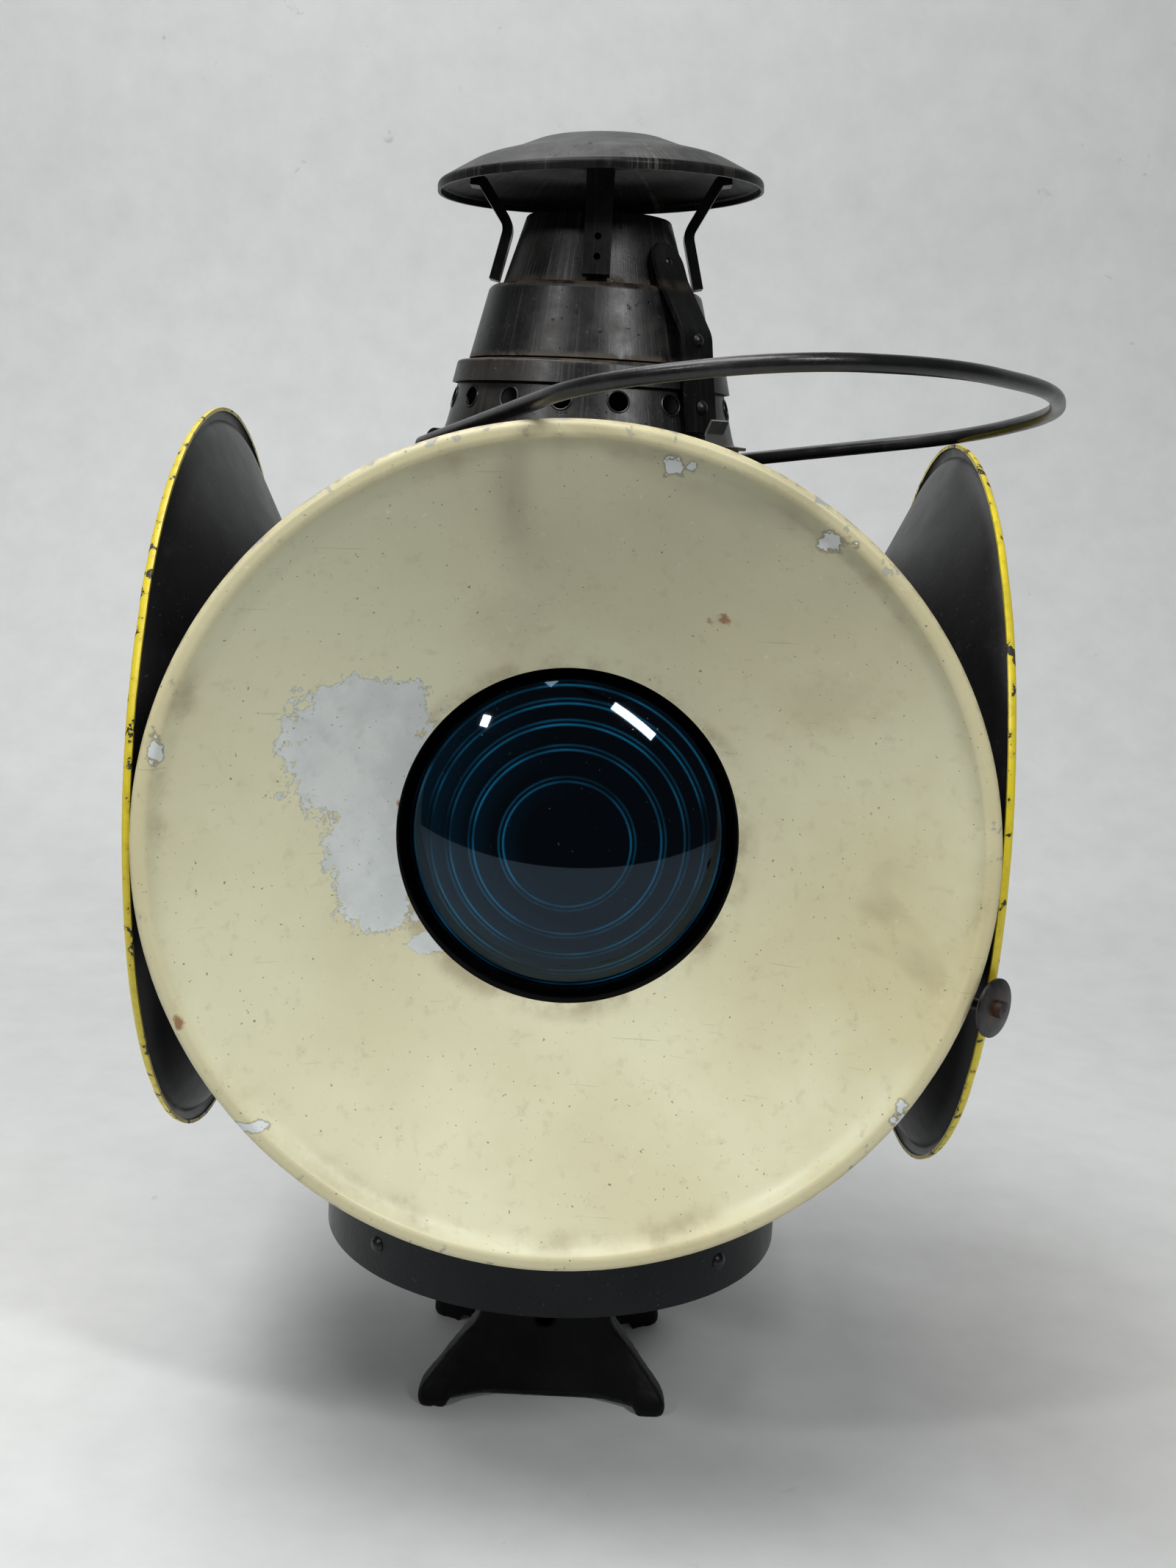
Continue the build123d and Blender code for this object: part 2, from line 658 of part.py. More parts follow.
# ---- base bracket ----
def make_bracket():
    """Hollow cast neck that spreads into four rounded toes round a central spindle socket."""
    top = drum_bottom
    reach = toe_x + 2 * toe_radius
    toe_end = toe_x + toe_radius
    with BuildPart() as casting:
        with BuildSketch(Plane.XZ.offset(-reach)):
            with BuildLine():
                FilletPolyline(
                    (neck_half_width, top), (neck_half_width, casting_waist),
                    (toe_end - toe_slant, toe_height), (toe_end, 0), (-toe_end, 0),
                    (toe_slant - toe_end, toe_height), (-neck_half_width, casting_waist),
                    (-neck_half_width, top), radius=[16, 6, 3, 3, 6, 16])
                Line((-neck_half_width, top), (neck_half_width, top))
            make_face()
        extrude(amount=2 * reach)
        with BuildSketch(Plane.YZ.offset(-reach)):
            with BuildLine():
                past = 6.0
                out = toe_y + toe_radius - 0.5
                FilletPolyline(
                    (neck_half_depth, top + past), (neck_half_depth, casting_back_waist), (out, past),
                    (out - 5, -past), (5 - out, -past), (-out, past), (-neck_half_depth, casting_back_waist),
                    (-neck_half_depth, top + past), radius=[20, 5, 1, 1, 5, 20])
                Line((-neck_half_depth, top + past), (neck_half_depth, top + past))
            make_face()
        extrude(amount=2 * reach, mode=Mode.INTERSECT)
        with BuildSketch(Plane.XY):
            Rectangle(2 * neck_half_width, 2 * (neck_half_depth - 1))
            for x in (-toe_x, toe_x):
                for y in (-toe_y, toe_y):
                    with Locations((x, y)):
                        Circle(toe_radius)
            for x, y in ((1, 1), (1, -1), (-1, 1), (-1, -1)):
                with BuildLine():
                    root = x * (neck_half_width - 6)
                    Polyline((root, y * (toe_y - 24)), (x * (toe_end - 2.4), y * (toe_y - 5)),
                             (x * toe_x, y * (toe_y + 6)), (root, y * (neck_half_depth - 1)), close=True)
                make_face()
        extrude(amount=top, mode=Mode.INTERSECT)
        hollow_x = 2 * (neck_half_width - casting_wall)
        hollow_y = 2 * (neck_half_depth - 1 - casting_wall)
        with BuildSketch(Plane.XY):
            Rectangle(hollow_x, hollow_y)
        extrude(amount=top - plate_wall, mode=Mode.SUBTRACT)
        with BuildSketch(Plane.XY):
            Rectangle(2 * (toe_x - 6), 2 * (neck_half_depth + 20))
            Rectangle(2 * (toe_x + 20), 2 * (neck_half_depth - 20))
        extrude(amount=arch_height, mode=Mode.SUBTRACT)
        with BuildSketch(Plane.XY):
            Circle(socket_radius + socket_wall)
        extrude(amount=top)
        with BuildSketch(Plane.XY.offset(rib_bottom)):
            Rectangle(hollow_x + 2, rib_width)
            Rectangle(rib_width, hollow_y + 2)
        extrude(amount=top - rib_bottom)
        with BuildSketch(Plane.XY.offset(top - plate_wall)):
            Circle(plate_radius)
        extrude(amount=plate_wall)
        with BuildSketch(Plane.XY):
            Circle(socket_radius)
        extrude(amount=socket_depth, mode=Mode.SUBTRACT)
        with BuildSketch(Plane.XY.offset(top - plate_wall)):
            with PolarLocations(bolt_circle, len(diagonals), start_angle=diagonals[0]):
                Circle(bolt_radius + bolt_hole_fit)
        extrude(amount=plate_wall, mode=Mode.SUBTRACT)
        with BuildSketch(outward_plane(-90, socket_radius - 4, set_screw_height)):
            Circle(set_screw_radius)
        extrude(amount=40, mode=Mode.SUBTRACT)
    keep(casting, "base_bracket")
    with BuildPart() as screw:
        with BuildSketch(outward_plane(-90, socket_radius + 0.6, set_screw_height)):
            Circle(set_screw_radius - 0.1)
        extrude(amount=set_screw_length)
        with BuildSketch(outward_plane(-90, socket_radius + 0.6 + set_screw_length, set_screw_height)):
            Rectangle(2 * set_screw_radius, set_screw_slot)
        extrude(amount=-set_screw_slot_depth, mode=Mode.SUBTRACT)
    keep(screw, "socket_set_screw")
    with BuildPart() as bolts:
        for height in (top - plate_wall - bolt_head, top + floor_sheet):
            with BuildSketch(Plane.XY.offset(height)):
                with PolarLocations(bolt_circle, len(diagonals), start_angle=diagonals[0]):
                    RegularPolygon(bolt_head_radius, 6)
            extrude(amount=bolt_head)
        with BuildSketch(Plane.XY.offset(top - plate_wall)):
            with PolarLocations(bolt_circle, len(diagonals), start_angle=diagonals[0]):
                Circle(bolt_radius)
        extrude(amount=plate_wall + floor_sheet)
    keep(bolts, "bracket_bolts")


# ---- fount, burner and wick ----
def stem_frame(reach):
    """Plane across the wick stem: its normal runs out along the stem to the knob."""
    a = radians(knob_azimuth)
    swing = asin(wheel_offset / knob_reach)
    along = Vector(cos(a + swing), sin(a + swing), 0)
    side_step = Vector(along.Y, -along.X, 0)
    origin = side_step * wheel_offset + along * reach + Vector(0, 0, stem_height)
    return Plane(origin=origin, x_dir=(0, 0, 1), z_dir=along)


def wick_plane(height):
    """Level plane with its x along the wick's width."""
    frame = stem_frame(0)
    return Plane(origin=(0, 0, height), x_dir=frame.z_dir, z_dir=(0, 0, 1))


def make_fount():
    wall = fount_sheet
    inner = fount_radius + seat_play
    outer = inner + wall
    foot = drum_bottom + floor_sheet
    rim = fount_bottom + seat_height
    lip = fount_radius - seat_lip
    spun("fount_seat", [
        (inner, foot), (outer + seat_flange, foot), (outer + seat_flange, foot + wall), (outer, foot + wall),
        (outer, rim), (inner, rim), (inner, fount_bottom), (lip, fount_bottom), (lip, fount_bottom - wall),
        (inner, fount_bottom - wall),
    ])
    with BuildPart() as fount:
        with BuildSketch(Plane.XZ):
            with BuildLine():
                FilletPolyline((0, fount_bottom), (fount_radius, fount_bottom),
                               (fount_radius, fount_shoulder), (fount_mouth, fount_neck - 2),
                               (fount_mouth, fount_neck + 6), radius=fount_bends)
                offset(amount=wall, side=Side.LEFT)
            make_face()
        revolve(axis=Axis.Z)
        with BuildSketch(Plane.XY.offset(fount_shoulder - 10)):
            with Locations((0, filler_reach)):
                Circle(filler_radius + 0.2)
        extrude(amount=22, mode=Mode.SUBTRACT)
    keep(fount, "oil_fount")
    with BuildPart() as cap:
        with BuildSketch(Plane.XY.offset(fount_shoulder - 9)):
            with Locations((0, filler_reach)):
                Circle(filler_radius)
        extrude(amount=filler_plug)
        with BuildSketch(Plane.XY.offset(fount_shoulder - 9 + filler_plug)):
            with Locations((0, filler_reach)):
                Circle(filler_radius + filler_cap_margin)
        extrude(amount=filler_cap_height)
        fillet(cap.faces().sort_by(Axis.Z)[-1].edges(), filler_cap_round)
    keep(cap, "fount_filler_cap")


def make_burner():
    deck_height, deck_sheet, deck_radius = burner_deck
    with BuildPart() as burner:
        with BuildSketch(Plane.XZ):
            with BuildLine():
                Polyline(*[(radius, fount_neck + height) for radius, height in burner_outline], close=True)
            make_face()
        revolve(axis=Axis.Z)
        with BuildSketch(Plane.XY.offset(fount_neck + deck_height)):
            Circle(deck_radius)
        extrude(amount=deck_sheet)
        with BuildSketch(wick_plane(fount_neck + deck_height - 1)):
            Rectangle(wick_width + 2.2, wick_sheet + 2.2)
        extrude(amount=3 * deck_sheet, mode=Mode.SUBTRACT)
        with BuildSketch(stem_frame(0)):
            with Locations((-8, 0)):
                Rectangle(25, 2 * stem_radius + 1.2)
        extrude(amount=40, mode=Mode.SUBTRACT)
    keep(burner, "burner")
    with BuildPart() as tube:
        with BuildSketch(wick_plane(fount_neck - tube_foot)):
            Rectangle(wick_width + 0.5 + 2 * tube_sheet, wick_sheet + 0.5 + 2 * tube_sheet)
            Rectangle(wick_width + 0.5, wick_sheet + 0.5, mode=Mode.SUBTRACT)
        extrude(amount=tube_top - fount_neck + tube_foot)
        with BuildSketch(stem_frame(-5)):
            Circle(wheel_radius + 0.6)
        extrude(amount=10, mode=Mode.SUBTRACT)
    keep(tube, "wick_tube")
    with BuildPart() as wick:
        with BuildSketch(wick_plane(wick_foot)):
            Rectangle(wick_width, wick_sheet)
        extrude(amount=wick_top - wick_foot)
    keep(wick, "wick")


def make_stem():
    with BuildPart() as wheel:
        with BuildSketch(stem_frame(-wheel_width / 2)):
            Circle(wheel_radius - wheel_tooth / 2)
            with PolarLocations(wheel_radius - wheel_tooth_width, wheel_teeth):
                Rectangle(wheel_tooth, wheel_tooth_width)
        extrude(amount=wheel_width)
        with BuildSketch(stem_frame(wheel_width / 2)):
            Circle(spindle_radius)
        extrude(amount=spindle_end - wheel_width / 2)
        with BuildSketch(stem_frame(spindle_end)):
            Rectangle(*tongue[:2])
        extrude(amount=tongue[2])
    keep(wheel, "wick_wheel_spindle")
    with BuildPart() as stem:
        with BuildSketch(stem_frame(fork_start)):
            Circle(fork_radius)
        extrude(amount=fork_length)
        with BuildSketch(stem_frame(fork_start)):
            Rectangle(fork_length, fork_slot)
        extrude(amount=tongue[2], mode=Mode.SUBTRACT)
        with BuildSketch(stem_frame(fork_start + fork_length)):
            Circle(stem_radius)
        extrude(amount=knob_reach - fork_start - fork_length - knob_dish)
    keep(stem, "wick_stem")
    with BuildPart() as knob:
        foot = stem_frame(knob_reach - knob_dish)
        ball = (knob_radius**2 + knob_rise**2) / (2 * knob_rise)
        side_view = Plane(origin=foot.origin, x_dir=foot.x_dir, z_dir=foot.x_dir.cross(foot.z_dir))
        with BuildSketch(side_view):
            with BuildLine():
                Polyline((knob_hub, knob_hub_height), (3.2, knob_hub_height), (3.2, 5.2), (0, 5.6), (0, 0),
                         (3.4, 0), (5, 1), (knob_radius - 0.4, 0), (knob_radius, knob_edge * 0.4),
                         (knob_radius, knob_edge))
                RadiusArc((knob_radius, knob_edge), (knob_hub, knob_hub_height), -ball * 2)
            make_face()
        revolve(axis=Axis(foot.origin, foot.z_dir))
    keep(knob, "wick_knob")
    with BuildPart() as bush:
        with BuildSketch(stem_frame(drum_radius - 8)):
            Circle(stem_bush_radius - 0.6)
        extrude(amount=14)
        with BuildSketch(stem_frame(drum_radius + 0.9)):
            Circle(stem_bush_radius + 3)
        extrude(amount=1.6)
        with BuildSketch(stem_frame(drum_radius - 10)):
            Circle(stem_radius + running_gap)
        extrude(amount=30, mode=Mode.SUBTRACT)
    keep(bush, "stem_bush")


make_drum()
make_band()
make_floor()
for side in sides:
    make_barrel(side)
    make_lens(side)
    make_target(side)
make_roof()
make_hinge()
make_catch()
make_ears()
make_bail()
make_vent_ring()
make_cones()
make_cap()
make_cap_straps()
make_tie_straps()
make_bracket()
make_fount()
make_burner()
make_stem()
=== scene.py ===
import math

import bmesh
import bpy
from mathutils import Matrix, Vector, noise


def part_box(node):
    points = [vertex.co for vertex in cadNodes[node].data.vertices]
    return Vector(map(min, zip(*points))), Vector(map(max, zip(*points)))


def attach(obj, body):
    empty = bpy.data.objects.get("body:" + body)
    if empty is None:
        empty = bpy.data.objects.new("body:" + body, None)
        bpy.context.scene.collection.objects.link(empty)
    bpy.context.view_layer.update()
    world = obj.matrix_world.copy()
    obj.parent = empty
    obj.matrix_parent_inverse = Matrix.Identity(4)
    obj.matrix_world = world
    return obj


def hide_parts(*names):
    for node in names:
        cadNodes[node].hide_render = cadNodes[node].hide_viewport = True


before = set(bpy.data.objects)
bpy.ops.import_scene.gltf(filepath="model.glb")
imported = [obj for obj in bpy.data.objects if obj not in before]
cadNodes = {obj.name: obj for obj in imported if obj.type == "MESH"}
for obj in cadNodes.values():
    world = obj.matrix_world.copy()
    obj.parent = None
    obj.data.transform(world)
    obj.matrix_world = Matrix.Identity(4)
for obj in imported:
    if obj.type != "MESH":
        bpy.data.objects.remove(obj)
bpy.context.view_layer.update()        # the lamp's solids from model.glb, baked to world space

upward = Vector((0, 0, 1))
outwards = {"front": Vector((0, -1, 0)), "right": Vector((1, 0, 0)),
            "back": Vector((0, 1, 0)), "left": Vector((-1, 0, 0))}
lensLow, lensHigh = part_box("front_lens")
lensHeight = (lensLow.z + lensHigh.z) / 2
scene = bpy.context.scene


# camera, lights and the paper sweep that the lamp stands on
cameraSizes = {"place": (0.0044, -0.7753, 0.420), "turn": 0.0036, "pitch": 0.1834, "roll": 0.0504,
               "lens": 40.75, "sensor": 36}
lightSizes = {
    "overhead": {"place": (-0.45, -0.36, 1.95), "target": (0, 0, 0.2), "size": (1.5, 0.9), "power": 33},
    "window": {"place": (0.76, -1.36, 1.46), "target": (0, 0, 0.3), "size": (0.12, 0.66), "power": 14,
               "spin": 0.75},
    "lampLeft": {"place": (-1.05, -1.18, 1.27), "target": (0, 0, 0.3), "size": (0.10, 0.14), "power": 6},
    "behind": {"place": (-0.3, 1.0, 1.75), "target": (0, 0.1, 0.3), "size": (1.2, 0.5), "power": 5},
}
sweepSizes = {"width": 9.0, "front": -0.80, "wall": 1.25, "bend": 0.7, "top": 4.0, "bendSteps": 24}
sweepLook = {"roughness": 0.8, "mottle": (26, 8, 0.65), "dark": (0.54, 0.55, 0.55, 1),
             "light": (0.68, 0.69, 0.69, 1), "scuff": (38, 6, 0.7, 0.6), "scuffEdges": (0.64, 0.72),
             "scuffAreas": (2.6, 3), "areaEdges": (0.56, 0.64), "scuffShow": 0.4,
             "brown": (0.30, 0.24, 0.19, 1)}
# the light colour lights the lamp; the backdrop colour is only what the camera sees past the paper
roomColours = {"light": (0.066, 0.068, 0.070, 1), "backdrop": (0.50, 0.51, 0.51, 1)}


def aimCamera():
    turn, pitch, roll = (cameraSizes[key] for key in ("turn", "pitch", "roll"))
    ahead = Vector((math.sin(turn) * math.cos(pitch), math.cos(turn) * math.cos(pitch), -math.sin(pitch)))
    right = Vector((math.cos(turn), -math.sin(turn), 0))
    above = right.cross(ahead)
    across = right * math.cos(roll) + above * math.sin(roll)
    upright = above * math.cos(roll) - right * math.sin(roll)
    view = bpy.data.cameras.new("camera")
    view.lens = cameraSizes["lens"]
    view.sensor_width = cameraSizes["sensor"]
    camera = bpy.data.objects.new("camera", view)
    axes = Matrix((across, upright, -ahead)).transposed().to_4x4()
    camera.matrix_world = Matrix.Translation(cameraSizes["place"]) @ axes
    scene.collection.objects.link(camera)
    scene.camera = camera


def hangLight(name, light):
    panel = bpy.data.lights.new(name, "AREA")
    panel.shape = "RECTANGLE"
    panel.size, panel.size_y = light["size"]
    panel.energy = light["power"]
    holder = bpy.data.objects.new(name, panel)
    place = Vector(light["place"])
    facing = (Vector(light["target"]) - place).to_track_quat("-Z", "Y").to_matrix().to_4x4()
    holder.matrix_world = Matrix.Translation(place) @ facing @ Matrix.Rotation(light.get("spin", 0), 4, "Z")
    scene.collection.objects.link(holder)


def hangSweep():
    s = sweepSizes
    line = [(s["front"], 0.0)]
    for step in range(s["bendSteps"] + 1):
        angle = math.pi / 2 * step / s["bendSteps"]
        line.append((s["wall"] - s["bend"] * (1 - math.sin(angle)), s["bend"] * (1 - math.cos(angle))))
    line.append((s["wall"], s["top"]))
    half = s["width"] / 2
    points = [(x, y, z) for y, z in line for x in (-half, half)]
    faces = [(2 * i, 2 * i + 1, 2 * i + 3, 2 * i + 2) for i in range(len(line) - 1)]
    mesh = bpy.data.meshes.new("paperSweep")
    mesh.from_pydata(points, [], faces)
    mesh.polygons.foreach_set("use_smooth", [True] * len(faces))
    sweep = bpy.data.objects.new("paperSweep", mesh)
    scene.collection.objects.link(sweep)
    look = sweepLook
    finish, tree, shader, place = startFinish("sweepPaper", look["roughness"])
    mottle = tint(tree, speckle(tree, place, *look["mottle"]), look["dark"], look["light"])
    scuffs = times(tree, fade(tree, speckle(tree, place, *look["scuff"]), *look["scuffEdges"]),
                   fade(tree, speckle(tree, place, *look["scuffAreas"]), *look["areaEdges"]))
    mottle = tint(tree, times(tree, scuffs, look["scuffShow"]), mottle, look["brown"])
    tree.links.new(mottle, shader.inputs["Base Color"])
    mesh.materials.append(finish)


def lightRoom():
    room = bpy.data.worlds.new("room")
    room.use_nodes = True
    tree = room.node_tree
    seen = addNode(tree, "ShaderNodeLightPath").outputs["Is Camera Ray"]
    colour = tint(tree, seen, roomColours["light"], roomColours["backdrop"])
    tree.links.new(colour, tree.nodes["Background"].inputs["Color"])
    scene.world = room
    scene.view_settings.view_transform = "Standard"
    for name, light in lightSizes.items():
        hangLight(name, light)


# small tools for mixing a finish
def addNode(tree, kind, sockets=None, **settings):
    made = tree.nodes.new(kind)
    for name, value in settings.items():
        setattr(made, name, value)
    for key, value in (sockets or {}).items():
        if isinstance(value, bpy.types.NodeSocket):
            tree.links.new(value, made.inputs[key])
        else:
            made.inputs[key].default_value = value
    return made


def startFinish(name, roughness, metallic=0.0, coat=0.0, coatRoughness=0.15, specular=0.5):
    finish = bpy.data.materials.new(name)
    finish.use_nodes = True
    tree = finish.node_tree
    shader = tree.nodes["Principled BSDF"]
    shader.inputs["Roughness"].default_value = roughness
    shader.inputs["Metallic"].default_value = metallic
    shader.inputs["Coat Weight"].default_value = coat
    shader.inputs["Coat Roughness"].default_value = coatRoughness
    shader.inputs["Specular IOR Level"].default_value = specular
    place = tree.nodes.new("ShaderNodeTexCoord").outputs["Object"]
    return finish, tree, shader, place


def speckle(tree, place, scale, detail=4.0, roughness=0.55, warp=0.0):
    return addNode(tree, "ShaderNodeTexNoise", {"Vector": place, "Scale": scale, "Detail": detail,
                                                "Roughness": roughness, "Distortion": warp}).outputs["Fac"]


def calc(tree, operation, *values):
    return addNode(tree, "ShaderNodeMath", dict(enumerate(values)), operation=operation).outputs[0]


def times(tree, first, second):
    return calc(tree, "MULTIPLY", first, second)


def fade(tree, value, low, high):
    return addNode(tree, "ShaderNodeMapRange", {"Value": value, "From Min": low, "From Max": high},
                   interpolation_type="SMOOTHSTEP").outputs["Result"]


def tint(tree, factor, under, over):
    mixer = addNode(tree, "ShaderNodeMix", {0: factor, 6: under, 7: over}, data_type="RGBA")
    return mixer.outputs[2]


def stretched(tree, place, scale, turn=(0, 0, 0)):
    return addNode(tree, "ShaderNodeMapping", {"Vector": place, "Scale": scale, "Rotation": turn}).outputs[0]


def dented(tree, shader, height, depth):
    made = addNode(tree, "ShaderNodeBump", {"Height": height, "Distance": depth, "Strength": 1.0})
    tree.links.new(made.outputs[0], shader.inputs["Normal"])


def heightOf(tree, place):
    return addNode(tree, "ShaderNodeSeparateXYZ", {0: place}).outputs["Z"]


def aroundAxis(tree, place, centre, weights):
    # distance from centre with each axis weighted: a weight of 0 leaves that axis out
    offset = addNode(tree, "ShaderNodeVectorMath", {0: place, 1: centre}, operation="SUBTRACT").outputs[0]
    flat = addNode(tree, "ShaderNodeVectorMath", {0: offset, 1: weights}, operation="MULTIPLY").outputs[0]
    return addNode(tree, "ShaderNodeVectorMath", {0: flat}, operation="LENGTH").outputs["Value"]


def alongLean(tree, place, centre, lean):
    # how far a place lies from centre in the direction of lean
    offset = addNode(tree, "ShaderNodeVectorMath", {0: place, 1: centre}, operation="SUBTRACT").outputs[0]
    along = addNode(tree, "ShaderNodeVectorMath", {0: offset, 1: lean}, operation="DOT_PRODUCT")
    return along.outputs["Value"]


def strongest(tree, masks):
    result = masks[0]
    for mask in masks[1:]:
        result = calc(tree, "MAXIMUM", result, mask)
    return result


# enamel of the day targets' faces, cream or yellow; each look's top colour is a painted shade over the dish's
# upper half
enamelLooks = {
    "cream": {"paint": (0.72, 0.71, 0.50, 1), "aged": (0.64, 0.61, 0.41, 1), "grime": (0.25, 0.19, 0.10, 1),
              "under": (0.36, 0.39, 0.39, 1), "rim": (0.62, 0.55, 0.31, 1), "chips": 0.60,
              "speck": (0.10, 0.08, 0.05, 1), "top": (0.26, 0.245, 0.165, 1), "hairs": 0.18,
              "pale": (0.80, 0.80, 0.68, 1), "edge": 0.7},
    "yellow": {"paint": (0.82, 0.68, 0.02, 1), "aged": (0.62, 0.47, 0.02, 1), "grime": (0.08, 0.06, 0.02, 1),
               "under": (0.012, 0.012, 0.012, 1), "rim": (0.72, 0.58, 0.03, 1), "chips": 0.565,
               "speck": (0.05, 0.04, 0.02, 1), "top": (0.46, 0.36, 0.03, 1), "hairs": 0.0,
               "pale": (0.85, 0.74, 0.10, 1), "edge": 0.25},
}
# each noise's scale, detail, roughness and warp
enamelGrains = {"cloudy": (9, 5), "patchy": (42, 6, 0.6), "gritty": (170, 8, 0.62),
                "smudge": (17, 3, 0.5, 0.4), "broadRag": (60, 10, 0.75), "fineRag": (330, 8, 0.7),
                "pale": (240, 6, 0.7),
                "dots": (640, 2, 0.5), "hairs": (1, 2, 0.4), "peel": (900, 2)}
# the values between which each mask fades in
enamelEdges = {"aged": (0.38, 0.68), "lowRight": (0.25, 1.05), "warm": (0.35, 0.6),
               "top": (lensHeight + 0.01, lensHeight + 0.15), "stainPatch": (0.42, 0.72),
               "stainCloud": (0.42, 0.62), "throat": (0.40, 0.66), "smudge": (0.66, 0.82),
               "edgeDirt": (0.40, 0.62), "milky": (0.35, 0.65), "grain": (0.54, 0.72), "pale": (0.62, 0.72),
               "dots": (0.722, 0.745), "hairs": (0.735, 0.76)}
# how far each mask shows
enamelShows = {"warm": 0.75, "top": 0.42, "rim": 0.55, "stain": 0.6, "throat": 0.6, "smudge": 0.6,
               "patch": 0.95, "spotSmudge": 0.17, "chipEdge": 0.8, "rust": 0.85, "grain": 0.16, "pale": 0.30,
               "dots": 0.75}
enamelChips = {"rimShare": 0.085, "patchShare": 0.35, "from": 0.105, "to": 0.118}
enamelRags = {"broad": 2.3, "fine": 1.1, "spot": 4.0, "spotInset": 0.18}
enamelSoftness = {"patch": 0.02, "smudge": 0.6, "chipEdge": 0.35, "chip": 0.06, "rust": 0.4}
enamelSurface = {"cloudDull": 0.16, "bareDull": 0.16, "dirtDull": 0.25, "roughness": 0.30, "peel": 0.10,
                 "bareDepth": 0.55, "patchDepth": 0.5, "depth": 0.0002, "coat": 0.07, "coatRoughness": 0.25,
                 "specular": 0.4}
barePatch = {"colour": (0.66, 0.70, 0.70, 1), "deep": (0.54, 0.58, 0.585, 1), "rust": (0.26, 0.10, 0.03, 1)}
# patches, chips, rust and smudges on the front dish: across, up, half width and half height
patchSpots = [(-0.078, 0.044, 0.026, 0.015), (-0.076, 0.024, 0.028, 0.021), (-0.070, 0.002, 0.020, 0.026),
              (-0.071, -0.023, 0.015, 0.017), (-0.058, 0.008, 0.014, 0.034), (-0.050, -0.044, 0.010, 0.004)]
chipSpots = [(0.0865, 0.1185, 0.0065, 0.0032), (0.030, 0.1412, 0.0040, 0.0030),
             (0.037, 0.1420, 0.0022, 0.0022), (0.1270, -0.0880, 0.0030, 0.0045),
             (-0.147, 0.034, 0.0022, 0.0060), (-0.110, -0.104, 0.006, 0.0022)]
rustSpots = [(-0.1370, -0.0655, 0.0016, 0.0028), (0.0525, 0.0875, 0.0035, 0.0020),
             (-0.064, 0.010, 0.0014, 0.0018)]
smudgeSpots = [(-0.026, 0.082, 0.012, 0.010), (0.093, 0.060, 0.016, 0.010)]
# radii on the dish, from the lens axis
rimSizes = {"valley": 0.1465, "valleyWidth": 0.008, "rim": (0.1475, 0.1515), "throat": (0.074, 0.066),
            "edge": (0.1545, 0.1562), "wear": (0.146, 0.1565)}


def spotMask(tree, place, spots, rag, soft):
    # ragged spots on the front dish
    masks = []
    for across, up, wide, high in spots:
        reach = aroundAxis(tree, place, (across, 0, lensHeight + up), (1 / wide, 0, 1 / high))
        masks.append(fade(tree, calc(tree, "ADD", reach, rag), 1 + soft, 1 - soft))
    return strongest(tree, masks)


